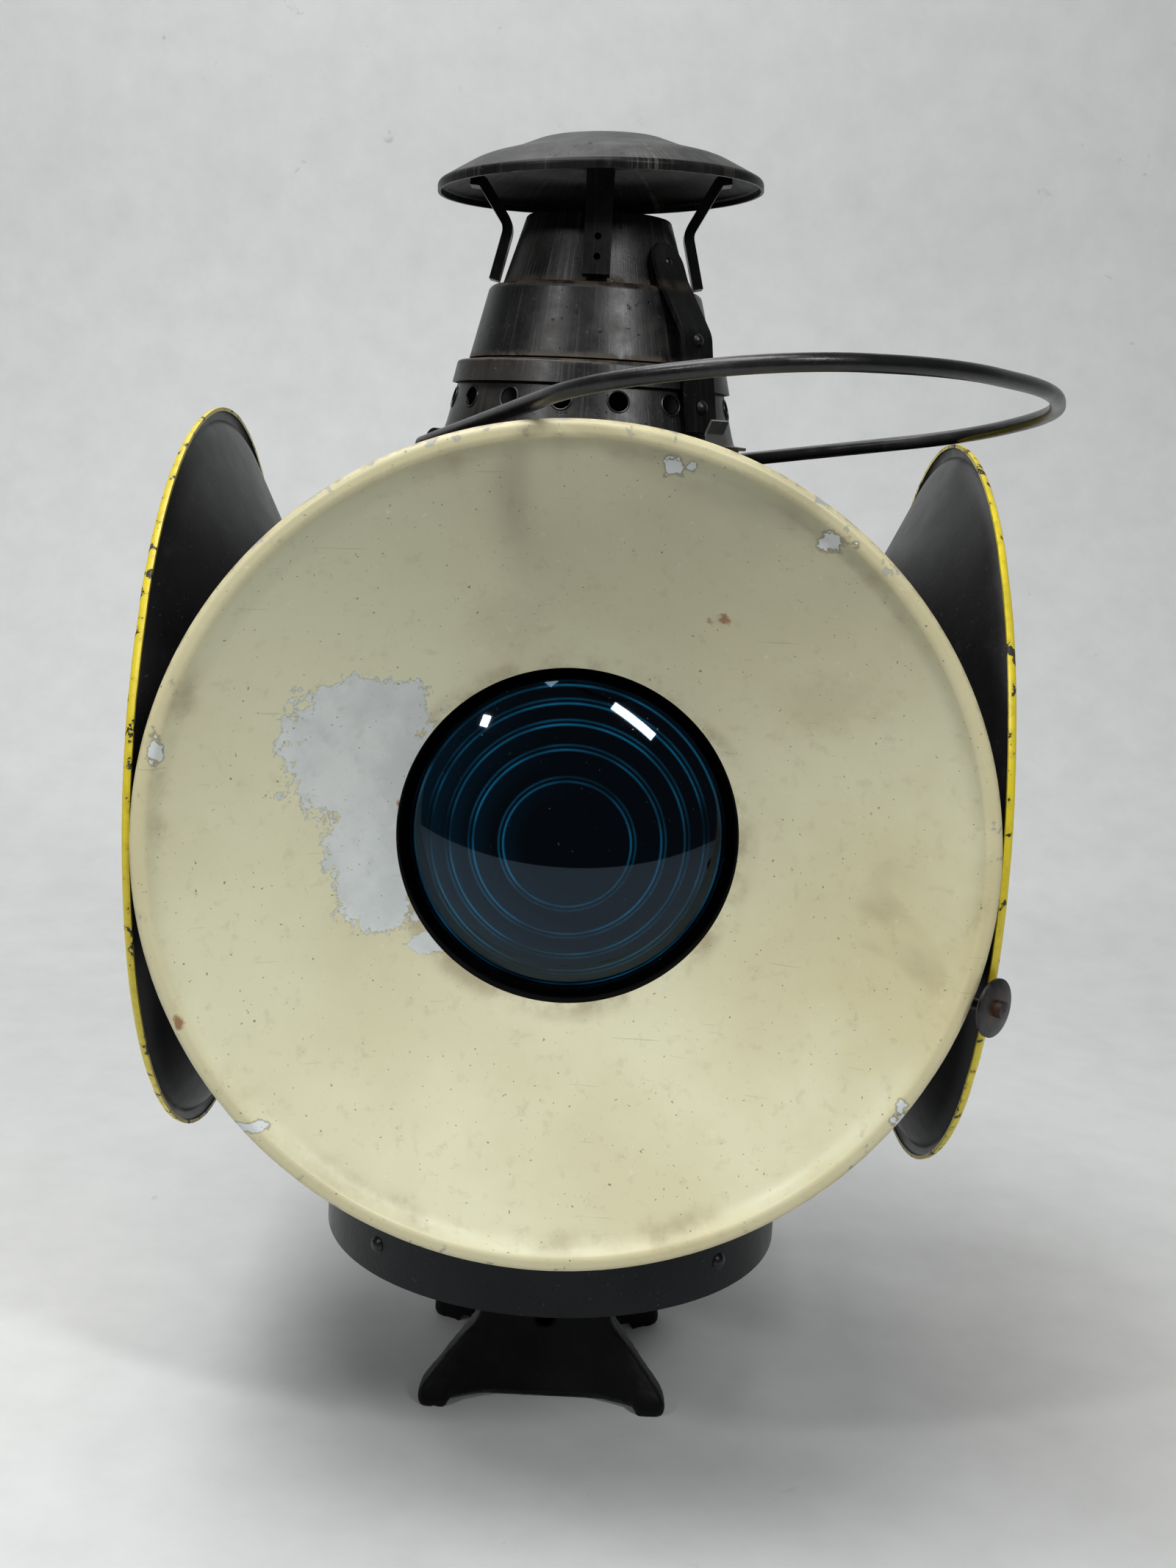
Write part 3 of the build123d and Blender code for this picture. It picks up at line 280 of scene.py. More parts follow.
def enamel(name, look, side, patched=False):
    grains, edges, shows, surface = enamelGrains, enamelEdges, enamelShows, enamelSurface
    finish, tree, shader, place = startFinish(name, surface["roughness"], coat=surface["coat"],
                                              coatRoughness=surface["coatRoughness"],
                                              specular=surface["specular"])
    outward = outwards[side]
    centre = (0, 0, lensHeight)
    across = (1 - abs(outward.x), 1 - abs(outward.y), 1)
    radius = aroundAxis(tree, place, centre, across)
    cloudy = speckle(tree, place, *grains["cloudy"])
    patchy = speckle(tree, place, *grains["patchy"])
    gritty = speckle(tree, place, *grains["gritty"])
    colour = tint(tree, fade(tree, cloudy, *edges["aged"]), look["paint"], look["aged"])
    lean = upward.cross(outward) * 6 - upward * 2.5        # points to the dish's lower right
    lowRight = alongLean(tree, place, centre, lean)
    warm = times(tree, fade(tree, lowRight, *edges["lowRight"]), fade(tree, cloudy, *edges["warm"]))
    colour = tint(tree, times(tree, warm, shows["warm"]), colour, look["rim"])
    # painted shade: the dish darkens towards its top, where the upper half faces down, away from the light
    paintedTopShade = times(tree, fade(tree, heightOf(tree, place), *edges["top"]), shows["top"])
    colour = tint(tree, paintedTopShade, colour, look["top"])
    onRim = fade(tree, radius, *rimSizes["rim"])
    colour = tint(tree, times(tree, onRim, shows["rim"]), colour, look["rim"])
    valley = calc(tree, "ABSOLUTE", calc(tree, "SUBTRACT", radius, rimSizes["valley"]))
    stainAreas = times(tree, fade(tree, patchy, *edges["stainPatch"]),
                       fade(tree, cloudy, *edges["stainCloud"]))
    stain = times(tree, fade(tree, valley, rimSizes["valleyWidth"], 0.0), stainAreas)
    throat = times(tree, fade(tree, radius, *rimSizes["throat"]), fade(tree, patchy, *edges["throat"]))
    smudge = fade(tree, speckle(tree, place, *grains["smudge"]), *edges["smudge"])
    smudge = times(tree, smudge, shows["smudge"])
    edgeDirt = times(tree, fade(tree, radius, *rimSizes["edge"]), fade(tree, gritty, *edges["edgeDirt"]))
    dirt = strongest(tree, [times(tree, stain, shows["stain"]), times(tree, throat, shows["throat"]), smudge,
                            times(tree, edgeDirt, look["edge"])])
    colour = tint(tree, dirt, colour, look["grime"])
    rimWear = fade(tree, radius, *rimSizes["wear"])
    chipLevel = calc(tree, "ADD", gritty, times(tree, rimWear, enamelChips["rimShare"]))
    chipShare = times(tree, calc(tree, "SUBTRACT", patchy, 0.5), enamelChips["patchShare"])
    chipLevel = calc(tree, "ADD", chipLevel, chipShare)
    chipEdges = (look["chips"] + enamelChips["from"], look["chips"] + enamelChips["to"])
    chips = times(tree, fade(tree, chipLevel, *chipEdges), rimWear)
    bare = chips
    colour = tint(tree, chips, colour, look["under"])
    if patched:
        rags, soft = enamelRags, enamelSoftness
        broad = calc(tree, "SUBTRACT", speckle(tree, place, *grains["broadRag"]), 0.5)
        fine = calc(tree, "SUBTRACT", speckle(tree, place, *grains["fineRag"]), 0.5)
        rag = calc(tree, "MULTIPLY_ADD", fine, rags["fine"], times(tree, broad, rags["broad"]))
        patch = spotMask(tree, place, patchSpots, rag, soft["patch"])
        milky = tint(tree, fade(tree, patchy, *edges["milky"]), barePatch["colour"], barePatch["deep"])
        colour = tint(tree, times(tree, patch, shows["patch"]), colour, milky)
        smudges = times(tree, spotMask(tree, place, smudgeSpots, rag, soft["smudge"]), shows["spotSmudge"])
        colour = tint(tree, smudges, colour, look["grime"])
        spotRag = times(tree, calc(tree, "SUBTRACT", gritty, 0.5), rags["spot"])
        ringed = times(tree, spotMask(tree, place, chipSpots, spotRag, soft["chipEdge"]), shows["chipEdge"])
        colour = tint(tree, ringed, colour, look["speck"])
        inset = calc(tree, "ADD", spotRag, rags["spotInset"])
        spots = spotMask(tree, place, chipSpots, inset, soft["chip"])
        colour = tint(tree, spots, colour, barePatch["colour"])
        rust = times(tree, spotMask(tree, place, rustSpots, spotRag, soft["rust"]), shows["rust"])
        colour = tint(tree, rust, colour, barePatch["rust"])
        bare = strongest(tree, [chips, patch, spots])
    grain = times(tree, fade(tree, gritty, *edges["grain"]), shows["grain"])
    colour = tint(tree, grain, colour, look["grime"])
    pale = times(tree, fade(tree, speckle(tree, place, *grains["pale"]), *edges["pale"]), shows["pale"])
    colour = tint(tree, pale, colour, look["pale"])
    dots = fade(tree, speckle(tree, place, *grains["dots"]), *edges["dots"])
    colour = tint(tree, times(tree, dots, shows["dots"]), colour, look["speck"])
    hairs = speckle(tree, stretched(tree, place, (40, 40, 900), (0.5, 0.7, 0.2)), *grains["hairs"])
    scratches = times(tree, fade(tree, hairs, *edges["hairs"]), look["hairs"])
    colour = tint(tree, scratches, colour, look["speck"])
    tree.links.new(colour, shader.inputs["Base Color"])
    dull = calc(tree, "ADD", times(tree, cloudy, surface["cloudDull"]),
                times(tree, bare, surface["bareDull"]))
    dirtDull = calc(tree, "MULTIPLY_ADD", dirt, surface["dirtDull"], dull)
    tree.links.new(calc(tree, "ADD", dirtDull, surface["roughness"]), shader.inputs["Roughness"])
    peel = times(tree, speckle(tree, place, *grains["peel"]), surface["peel"])
    chipped = calc(tree, "SUBTRACT", peel, times(tree, bare, surface["bareDepth"]))
    relief = calc(tree, "ADD", chipped, times(tree, patchy, surface["patchDepth"]))
    dented(tree, shader, relief, surface["depth"])
    return finish


# black finishes: colours, roughness, where specks start, how deep pits go, metal and shine
blackLooks = {
    "targetBack": {"base": (0.0055, 0.0055, 0.006, 1), "worn": (0.014, 0.014, 0.015, 1),
                   "dust": (0.09, 0.085, 0.075, 1), "roughness": 0.40, "specks": 0.70, "pits": 0.35,
                   "metal": 0.0, "shine": 0.36},
    "bodyBlack": {"base": (0.0055, 0.0055, 0.006, 1), "worn": (0.016, 0.0155, 0.015, 1),
                  "dust": (0.09, 0.075, 0.055, 1), "roughness": 0.42, "specks": 0.72, "pits": 0.5,
                  "metal": 0.0, "shine": 0.28},
    "bandBlue": {"base": (0.0055, 0.0070, 0.0090, 1), "worn": (0.011, 0.0135, 0.017, 1),
                 "dust": (0.09, 0.08, 0.07, 1), "roughness": 0.33, "specks": 0.70, "pits": 0.9,
                 "metal": 0.0, "shine": 0.17},
    "wire": {"base": (0.006, 0.006, 0.0065, 1), "worn": (0.035, 0.033, 0.035, 1),
             "dust": (0.09, 0.075, 0.06, 1), "roughness": 0.30, "specks": 0.72, "pits": 0.6,
             "metal": 0.1, "shine": 0.5},
    "castIron": {"base": (0.0022, 0.0022, 0.0026, 1), "worn": (0.008, 0.008, 0.009, 1),
                 "dust": (0.04, 0.037, 0.034, 1), "roughness": 0.50, "specks": 0.735, "pits": 2.2,
                 "metal": 0.0, "shine": 0.12},
    "rivet": {"base": (0.007, 0.007, 0.0075, 1), "worn": (0.05, 0.05, 0.053, 1),
              "dust": (0.10, 0.08, 0.06, 1), "roughness": 0.34, "specks": 0.70, "pits": 0.5,
              "metal": 0.2, "shine": 0.45},
}
blackGrains = {"cloudy": (16, 5), "patchy": (75, 6, 0.62), "dots": (620, 2, 0.5), "film": (28, 4, 0.6, 0.3),
               "pits": (420, 5, 0.6)}
blackEdges = {"worn": (0.42, 0.72), "rub": (0.58, 0.74), "film": (0.55, 0.9), "dotWidth": 0.03}
blackShows = {"rub": 0.6, "dots": 0.5, "film": 0.12, "patchDull": 0.22, "smoother": 0.11, "depth": 0.00016}


def blackPaint(name, key):
    look, grains, edges, shows = blackLooks[key], blackGrains, blackEdges, blackShows
    finish, tree, shader, place = startFinish(name, look["roughness"], look["metal"], specular=look["shine"])
    cloudy = speckle(tree, place, *grains["cloudy"])
    patchy = speckle(tree, place, *grains["patchy"])
    colour = tint(tree, fade(tree, cloudy, *edges["worn"]), look["base"], look["worn"])
    rub = times(tree, fade(tree, patchy, *edges["rub"]), shows["rub"])
    colour = tint(tree, rub, colour, look["worn"])
    dotEdges = (look["specks"], look["specks"] + edges["dotWidth"])
    dots = fade(tree, speckle(tree, place, *grains["dots"]), *dotEdges)
    film = times(tree, fade(tree, speckle(tree, place, *grains["film"]), *edges["film"]), shows["film"])
    colour = tint(tree, strongest(tree, [times(tree, dots, shows["dots"]), film]), colour, look["dust"])
    tree.links.new(colour, shader.inputs["Base Color"])
    dull = times(tree, patchy, shows["patchDull"])
    roughness = calc(tree, "ADD", dull, look["roughness"] - shows["smoother"])
    tree.links.new(roughness, shader.inputs["Roughness"])
    pits = times(tree, speckle(tree, place, *grains["pits"]), look["pits"])
    dented(tree, shader, calc(tree, "ADD", pits, times(tree, patchy, look["pits"])), shows["depth"])
    return finish


# blackened sheet of the ventilator; ledges and ringFoot are heights where dust and rust gather
ventLook = {"base": (0.0050, 0.0052, 0.0056, 1), "worn": (0.024, 0.024, 0.025, 1),
            "dust": (0.085, 0.064, 0.042, 1), "rust": (0.050, 0.026, 0.015, 1),
            "brushed": (0.075, 0.075, 0.078, 1), "web": (0.16, 0.14, 0.11, 1), "ledges": (0.4575, 0.4885),
            "ledgeFade": 0.0035, "ringFoot": 0.4315, "footFade": 0.006, "webHeights": (0.5465, 0.5400),
            "roughness": 0.4, "metal": 0.12}
ventGrains = {"brush": (1, 5, 0.7), "cloudy": (30, 5), "patchy": (120, 7, 0.65), "pits": (330, 3, 0.5),
              "dots": (640, 2, 0.5), "strands": (1, 7, 0.75, 0.8), "lumps": (55, 5, 0.7)}
ventStretch = {"around": (46, 46, 1), "rise": (1, 1, 26), "strands": (30, 30, 1)}
ventEdges = {"worn": (0.40, 0.70), "brush": (0.52, 0.66), "pits": (0.68, 0.75), "rust": (0.40, 0.62),
             "settled": (0.36, 0.60), "film": (0.45, 0.75), "dots": (0.71, 0.74), "strands": (0.50, 0.70),
             "lumps": (0.40, 0.62)}
ventShows = {"worn": 0.5, "film": 0.22, "dots": 0.6, "patchDull": 0.28, "roughness": 0.22, "dirtDull": 0.4,
             "brushDepth": 0.5, "pitDepth": -1.4, "patchDepth": 0.7, "depth": 0.00018}
ventSheets = {
    "vent": {"name": "ventSheet", "brushed": 0.35, "dusty": 0.9, "shine": 0.42},
    "brushedVent": {"name": "brushedVentSheet", "brushed": 1.0, "dusty": 0.8, "shine": 0.42},
    "capSheet": {"name": "capSheet", "brushed": 0.15, "dusty": 0.4, "shine": 0.16},
    "webbedCap": {"name": "webbedCap", "brushed": 0.05, "dusty": 0.25, "shine": 0.10, "webbed": 0.55},
}


def ventPaint(name, brushed, dusty, shine, webbed=0.0):
    look, grains, edges, shows = ventLook, ventGrains, ventEdges, ventShows
    finish, tree, shader, place = startFinish(name, look["roughness"], look["metal"], specular=shine)
    flat = addNode(tree, "ShaderNodeVectorMath", {0: place, 1: (1, 1, 0)}, operation="MULTIPLY").outputs[0]
    around = addNode(tree, "ShaderNodeVectorMath", {0: flat}, operation="NORMALIZE").outputs[0]
    height = heightOf(tree, place)
    rise = addNode(tree, "ShaderNodeCombineXYZ", {"Z": height}).outputs[0]
    stroke = {0: stretched(tree, around, ventStretch["around"]),
              1: stretched(tree, rise, ventStretch["rise"])}
    brushPlace = addNode(tree, "ShaderNodeVectorMath", stroke, operation="ADD").outputs[0]
    brush = speckle(tree, brushPlace, *grains["brush"])
    cloudy = speckle(tree, place, *grains["cloudy"])
    patchy = speckle(tree, place, *grains["patchy"])
    worn = times(tree, fade(tree, cloudy, *edges["worn"]), shows["worn"])
    colour = tint(tree, worn, look["base"], look["worn"])
    strokes = times(tree, fade(tree, brush, *edges["brush"]), brushed)
    colour = tint(tree, strokes, colour, look["brushed"])
    pits = fade(tree, speckle(tree, place, *grains["pits"]), *edges["pits"])
    colour = tint(tree, pits, colour, look["base"])
    foot = fade(tree, height, look["ringFoot"], look["ringFoot"] - look["footFade"])
    rust = times(tree, foot, fade(tree, patchy, *edges["rust"]))
    colour = tint(tree, rust, colour, look["rust"])
    ledges = []
    for ledge in look["ledges"]:
        gapToLedge = calc(tree, "ABSOLUTE", calc(tree, "SUBTRACT", height, ledge))
        ledges.append(fade(tree, gapToLedge, look["ledgeFade"], 0.0))
    settled = times(tree, strongest(tree, ledges), fade(tree, patchy, *edges["settled"]))
    film = times(tree, fade(tree, cloudy, *edges["film"]), shows["film"])
    dots = times(tree, fade(tree, speckle(tree, place, *grains["dots"]), *edges["dots"]), shows["dots"])
    dirt = times(tree, strongest(tree, [settled, film, dots]), dusty)
    colour = tint(tree, dirt, colour, look["dust"])
    if webbed:
        strands = speckle(tree, stretched(tree, around, ventStretch["strands"]), *grains["strands"])
        lumps = speckle(tree, place, *grains["lumps"])
        web = times(tree, fade(tree, strands, *edges["strands"]), fade(tree, lumps, *edges["lumps"]))
        beneath = times(tree, fade(tree, height, *look["webHeights"]), webbed)
        colour = tint(tree, times(tree, web, beneath), colour, look["web"])
    tree.links.new(colour, shader.inputs["Base Color"])
    roughness = calc(tree, "ADD", times(tree, patchy, shows["patchDull"]), shows["roughness"])
    roughness = calc(tree, "ADD", roughness, times(tree, dirt, shows["dirtDull"]))
    tree.links.new(roughness, shader.inputs["Roughness"])
    strokeDepth = times(tree, brush, shows["brushDepth"] * brushed)
    relief = calc(tree, "ADD", strokeDepth, times(tree, pits, shows["pitDepth"]))
    dented(tree, shader, calc(tree, "ADD", relief, times(tree, patchy, shows["patchDepth"])), shows["depth"])
    return finish


# each look's tint is a painted glow in the ring steps, and its line colour the painted glints along them
lensLooks = {
    "blue": {"body": (0.0006, 0.0020, 0.0040, 1), "tint": (0.0009, 0.014, 0.030, 1),
             "line": (0.012, 0.26, 0.52, 1)},
    "amber": {"body": (0.10, 0.030, 0.002, 1), "tint": (0.30, 0.10, 0.004, 1), "line": (0.75, 0.33, 0.03, 1)},
}
lensRings = {"radii": (0.0240, 0.0355, 0.0445, 0.0520, 0.0585), "paintedGlow": 0.009, "pair": 0.0017,
             "pairShow": 0.45, "width": 0.0007, "edge": (0.058, 0.061), "side": (-0.3, 0.75)}
lensSurface = {"roughness": 0.03, "index": 1.46, "through": 0.5, "gleam": (0.55, 0.76, 1.0, 1),
               "edge": (0.001, 0.001, 0.0012, 1), "drift": (26, 2), "driftEdges": (0.30, 0.72),
               "dots": (800, 2, 0.5), "dotEdges": (0.735, 0.76), "dotShow": 0.35,
               "dust": (0.25, 0.27, 0.27, 1), "smear": (35, 4), "smearDull": 0.06, "dustDull": 0.5}


def lensGlass(name, look, side):
    rings, surface = lensRings, lensSurface
    finish, tree, shader, place = startFinish(name, surface["roughness"])
    shader.inputs["IOR"].default_value = surface["index"]
    shader.inputs["Transmission Weight"].default_value = surface["through"]
    shader.inputs["Specular Tint"].default_value = surface["gleam"]
    outward = outwards[side]
    centre = (0, 0, lensHeight)
    radius = aroundAxis(tree, place, centre, (1 - abs(outward.x), 1 - abs(outward.y), 1))
    lean = upward.cross(outward) * -14 - upward * 6        # points to the lens's lower left
    lowLeft = alongLean(tree, place, centre, lean)
    steps = []
    paintedGlints = []
    for ring in rings["radii"]:
        rise = fade(tree, radius, ring - rings["paintedGlow"], ring)
        steps.append(times(tree, rise, calc(tree, "LESS_THAN", radius, ring)))
        for line, strength in ((ring, 1.0), (ring + rings["pair"], rings["pairShow"])):
            away = calc(tree, "ABSOLUTE", calc(tree, "SUBTRACT", radius, line))
            paintedGlints.append(times(tree, fade(tree, away, rings["width"], 0.0), strength))
    # painted glow: the ring steps light up towards the lens's lower left
    paintedGlow = times(tree, strongest(tree, steps), fade(tree, lowLeft, *rings["side"]))
    colour = tint(tree, paintedGlow, look["body"], look["tint"])
    drift = fade(tree, speckle(tree, place, *surface["drift"]), *surface["driftEdges"])
    # painted glints: thin bright lines along each ring and its pair, shown in patches where drift allows
    colour = tint(tree, times(tree, strongest(tree, paintedGlints), drift), colour, look["line"])
    colour = tint(tree, fade(tree, radius, *rings["edge"]), colour, surface["edge"])
    dots = fade(tree, speckle(tree, place, *surface["dots"]), *surface["dotEdges"])
    dust = times(tree, dots, surface["dotShow"])
    colour = tint(tree, dust, colour, surface["dust"])
    tree.links.new(colour, shader.inputs["Base Color"])
    smear = times(tree, speckle(tree, place, *surface["smear"]), surface["smearDull"])
    roughness = calc(tree, "ADD", smear, times(tree, dust, surface["dustDull"]))
    tree.links.new(roughness, shader.inputs["Roughness"])
    return finish


# brass, tin, felt and cotton, mostly on the lamp's inner pieces
brassLook = {"cloudy": (60, 6, 0.6), "edges": (0.35, 0.65), "bright": (0.42, 0.27, 0.09, 1),
             "dull": (0.13, 0.085, 0.04, 1), "sootHeights": (0.215, 0.256), "sootShow": 0.8,
             "soot": (0.012, 0.011, 0.010, 1)}


def brassTarnish(name):
    look = brassLook
    finish, tree, shader, place = startFinish(name, 0.35, 1.0)
    cloudy = speckle(tree, place, *look["cloudy"])
    colour = tint(tree, fade(tree, cloudy, *look["edges"]), look["bright"], look["dull"])
    soot = times(tree, fade(tree, heightOf(tree, place), *look["sootHeights"]), look["sootShow"])
    colour = tint(tree, soot, colour, look["soot"])
    tree.links.new(colour, shader.inputs["Base Color"])
    tree.links.new(calc(tree, "ADD", times(tree, cloudy, 0.35), 0.18), shader.inputs["Roughness"])
    dented(tree, shader, speckle(tree, place, 300, 4), 0.00008)
    return finish


tinLook = {"flake": 130, "dark": (0.33, 0.33, 0.32, 1), "light": (0.42, 0.42, 0.40, 1),
           "patchy": (60, 6, 0.6), "edges": (0.52, 0.72), "rust": (0.13, 0.085, 0.05, 1)}


def tinPlate(name):
    look = tinLook
    finish, tree, shader, place = startFinish(name, 0.4, 0.9)
    spangle = addNode(tree, "ShaderNodeTexVoronoi", {"Vector": place, "Scale": look["flake"]})
    flake = addNode(tree, "ShaderNodeSeparateColor", {0: spangle.outputs["Color"]}).outputs["Red"]
    patchy = speckle(tree, place, *look["patchy"])
    colour = tint(tree, flake, look["dark"], look["light"])
    colour = tint(tree, fade(tree, patchy, *look["edges"]), colour, look["rust"])
    tree.links.new(colour, shader.inputs["Base Color"])
    tree.links.new(calc(tree, "ADD", times(tree, patchy, 0.4), 0.2), shader.inputs["Roughness"])
    dented(tree, shader, patchy, 0.0001)
    return finish


def feltGasket(name):
    finish, tree, shader, place = startFinish(name, 0.9)
    fibre = speckle(tree, place, 500, 6, 0.7)
    colour = tint(tree, fibre, (0.02, 0.018, 0.016, 1), (0.07, 0.06, 0.05, 1))
    tree.links.new(colour, shader.inputs["Base Color"])
    dented(tree, shader, fibre, 0.0002)
    return finish


def wickCotton(name):
    finish, tree, shader, place = startFinish(name, 0.95)
    turned = stretched(tree, place, (1, 1, 1), (0, 0, 0.78))
    over = addNode(tree, "ShaderNodeTexWave", {"Vector": turned, "Scale": 320, "Distortion": 0.6},
                   bands_direction="X").outputs["Fac"]
    weft = addNode(tree, "ShaderNodeTexWave", {"Vector": place, "Scale": 420, "Distortion": 0.4},
                   bands_direction="Z").outputs["Fac"]
    weave = times(tree, over, weft)
    colour = tint(tree, weave, (0.30, 0.26, 0.19, 1), (0.60, 0.55, 0.45, 1))
    char = fade(tree, heightOf(tree, place), 0.2535, 0.2575)
    colour = tint(tree, char, colour, (0.008, 0.007, 0.006, 1))
    tree.links.new(colour, shader.inputs["Base Color"])
    dented(tree, shader, weave, 0.0003)
    return finish


knobLook = {"patchy": (150, 7, 0.65), "edges": (0.40, 0.66), "black": (0.009, 0.009, 0.010, 1),
            "worn": (0.035, 0.033, 0.033, 1), "hubRadii": (0.0085, 0.004), "rustEdges": (0.42, 0.60),
            "rustShow": 0.85, "rust": (0.060, 0.028, 0.014, 1)}


def rustyKnob(name):
    look = knobLook
    finish, tree, shader, place = startFinish(name, 0.34, 0.3)
    patchy = speckle(tree, place, *look["patchy"])
    colour = tint(tree, fade(tree, patchy, *look["edges"]), look["black"], look["worn"])
    low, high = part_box("wick_knob")
    hub = aroundAxis(tree, place, tuple((low + high) / 2), (1, 1, 1))
    rust = times(tree, fade(tree, hub, *look["hubRadii"]), fade(tree, patchy, *look["rustEdges"]))
    colour = tint(tree, times(tree, rust, look["rustShow"]), colour, look["rust"])
    tree.links.new(colour, shader.inputs["Base Color"])
    tree.links.new(calc(tree, "ADD", times(tree, patchy, 0.35), 0.14), shader.inputs["Roughness"])
    dented(tree, shader, patchy, 0.0002)
    return finish


# weld is the distance under which points are one; sharp is the angle above which an edge shows
meshSizes = {"weld": 1e-7, "sharp": 0.6, "rowSharp": 0.5}


# outlines are lists of (radius, height) pairs, turned about their own axis
def facing(outward, origin):
    across = upward.cross(outward)
    return Matrix.Translation(origin) @ Matrix((across, upward, outward)).transposed().to_4x4()


def filletLine(points, bends, steps=8):
    line = [Vector(points[0])]
    for before, corner, after, bend in zip(points[:-2], points[1:-1], points[2:], bends):
        corner = Vector(corner)
        back = (Vector(before) - corner).normalized()
        ahead = (Vector(after) - corner).normalized()
        half = back.angle(ahead) / 2
        centre = corner + (back + ahead).normalized() * (bend / math.sin(half))
        start = corner + back * (bend / math.tan(half)) - centre
        end = corner + ahead * (bend / math.tan(half)) - centre
        for step in range(steps + 1):
            line.append(centre + start.slerp(end, step / steps) * bend)
    return line + [Vector(points[-1])]


def longRunsSplit(line, longest):
    result = [line[0]]
    for point in line[1:]:
        pieces = max(1, math.ceil((point - result[-1]).length / longest))
        start = result[-1]
        result += [start.lerp(point, (i + 1) / pieces) for i in range(pieces)]
    return result


def backOf(line, wall):
    # the same line, moved to its right by the sheet's thickness
    moved = []
    for i, point in enumerate(line):
        run = line[min(i + 1, len(line) - 1)] - line[max(i - 1, 0)]
        moved.append(point + Vector((run.y, -run.x)).normalized() * wall)
    return moved


def turnedPiece(name, outline, segments, place, unevenness=None, slots=None):
    # a closed outline turned into a ring of faces; slots gives each outline run's material
    shape = bmesh.new()
    rings = []
    for step in range(segments):
        angle = 2 * math.pi * step / segments
        ring = []
        for radius, height in outline:
            point = place @ Vector((radius * math.cos(angle), radius * math.sin(angle), height))
            if unevenness:
                point += unevenness(point, radius)
            ring.append(shape.verts.new(point))
        rings.append(ring)
    count = len(outline)
    for step in range(segments):
        here, there = rings[step], rings[(step + 1) % segments]
        for i in range(count):
            j = (i + 1) % count
            if max(outline[i][0], outline[j][0]) < meshSizes["weld"]:
                continue
            face = shape.faces.new((here[i], there[i], there[j], here[j]))
            face.smooth = True
            if slots:
                face.material_index = slots[i]
    bmesh.ops.remove_doubles(shape, verts=shape.verts, dist=meshSizes["weld"])
    bmesh.ops.recalc_face_normals(shape, faces=shape.faces)
    return finishMesh(name, shape)


def finishMesh(name, shape, sharp=meshSizes["sharp"]):
    mesh = bpy.data.meshes.new(name)
    shape.to_mesh(mesh)
    shape.free()
    mesh.set_sharp_from_angle(angle=sharp)
    piece = bpy.data.objects.new(name, mesh)
    scene.collection.objects.link(piece)
    return piece


def dress(piece, body, slot, finishes, *replaced):
    if len(piece.data.materials):
        piece.data.materials.clear()
    for finish in finishes:
        piece.data.materials.append(finish)
    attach(piece, body)
    if replaced:
        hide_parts(*replaced)


def paintNode(name, finish):
    node = cadNodes[name]
    node.data.materials.clear()
    node.data.materials.append(finish)


# day targets: one spun dish each, with its rim rolled and turned back
targetSizes = {
    "face": [(0.0653, 0.1145), (0.1465, 0.1556), (0.1502, 0.1602), (0.1560, 0.1596), (0.1560, 0.1564)],
    "bends": [0.016, 0.0028, 0.0032], "sheet": 0.0015, "sleeve": (0.0719, 0.0731), "sleeveStart": 0.104,
    "longestRun": 0.006, "segments": 288, "waver": 0.00035, "waverScale": 14, "waverFrom": 0.08,
    "waverSpan": 0.07, "rimDings": 0.00045, "dingScale": 55, "dingFrom": 0.142, "dingSpan": 0.012,
    "dingLevel": 0.25,
}


def makeTarget(side, faceFinish, backFinish, slot):
    s = targetSizes
    front = longRunsSplit(filletLine(s["face"], s["bends"]), s["longestRun"])
    behind = backOf(front, s["sheet"])
    sleeveIn, sleeveOut = s["sleeve"]
    slope = (behind[3].y - behind[2].y) / (behind[3].x - behind[2].x)
    join = [behind[0].y + slope * (radius - behind[0].x) for radius in (sleeveOut, sleeveIn)]
    outer = [point for point in reversed(behind) if point.x > sleeveOut]
    inner = [point for point in reversed(behind) if point.x < sleeveIn]
    sleeve = [(sleeveOut, join[0]), (sleeveOut, s["sleeveStart"]),
              (sleeveIn, s["sleeveStart"]), (sleeveIn, join[1])]
    outline = [tuple(point) for point in front + outer] + sleeve + [tuple(point) for point in inner]
    slots = [0] * len(front) + [1] * (len(outline) - len(front))
    inward = -outwards[side]
    seedShift = Vector((1.7, 3.1, 0)) * list(outwards).index(side)

    def unevenness(point, radius):
        share = min(1, max(0, (radius - s["waverFrom"]) / s["waverSpan"]))
        rim = min(1, max(0, (radius - s["dingFrom"]) / s["dingSpan"]))
        waver = (noise.noise(point * s["waverScale"] + seedShift) + 1) * 0.5 * s["waver"] * share
        dent = noise.noise(point * s["dingScale"] + seedShift) - s["dingLevel"]
        ding = max(0, dent) * s["rimDings"] * rim
        return inward * (waver + ding)

    place = facing(outwards[side], (0, 0, lensHeight))
    piece = turnedPiece(f"{side}TargetDish", outline, s["segments"], place, unevenness, slots)
    dress(piece, "lamp", slot, [faceFinish, backFinish], f"{side}_target")


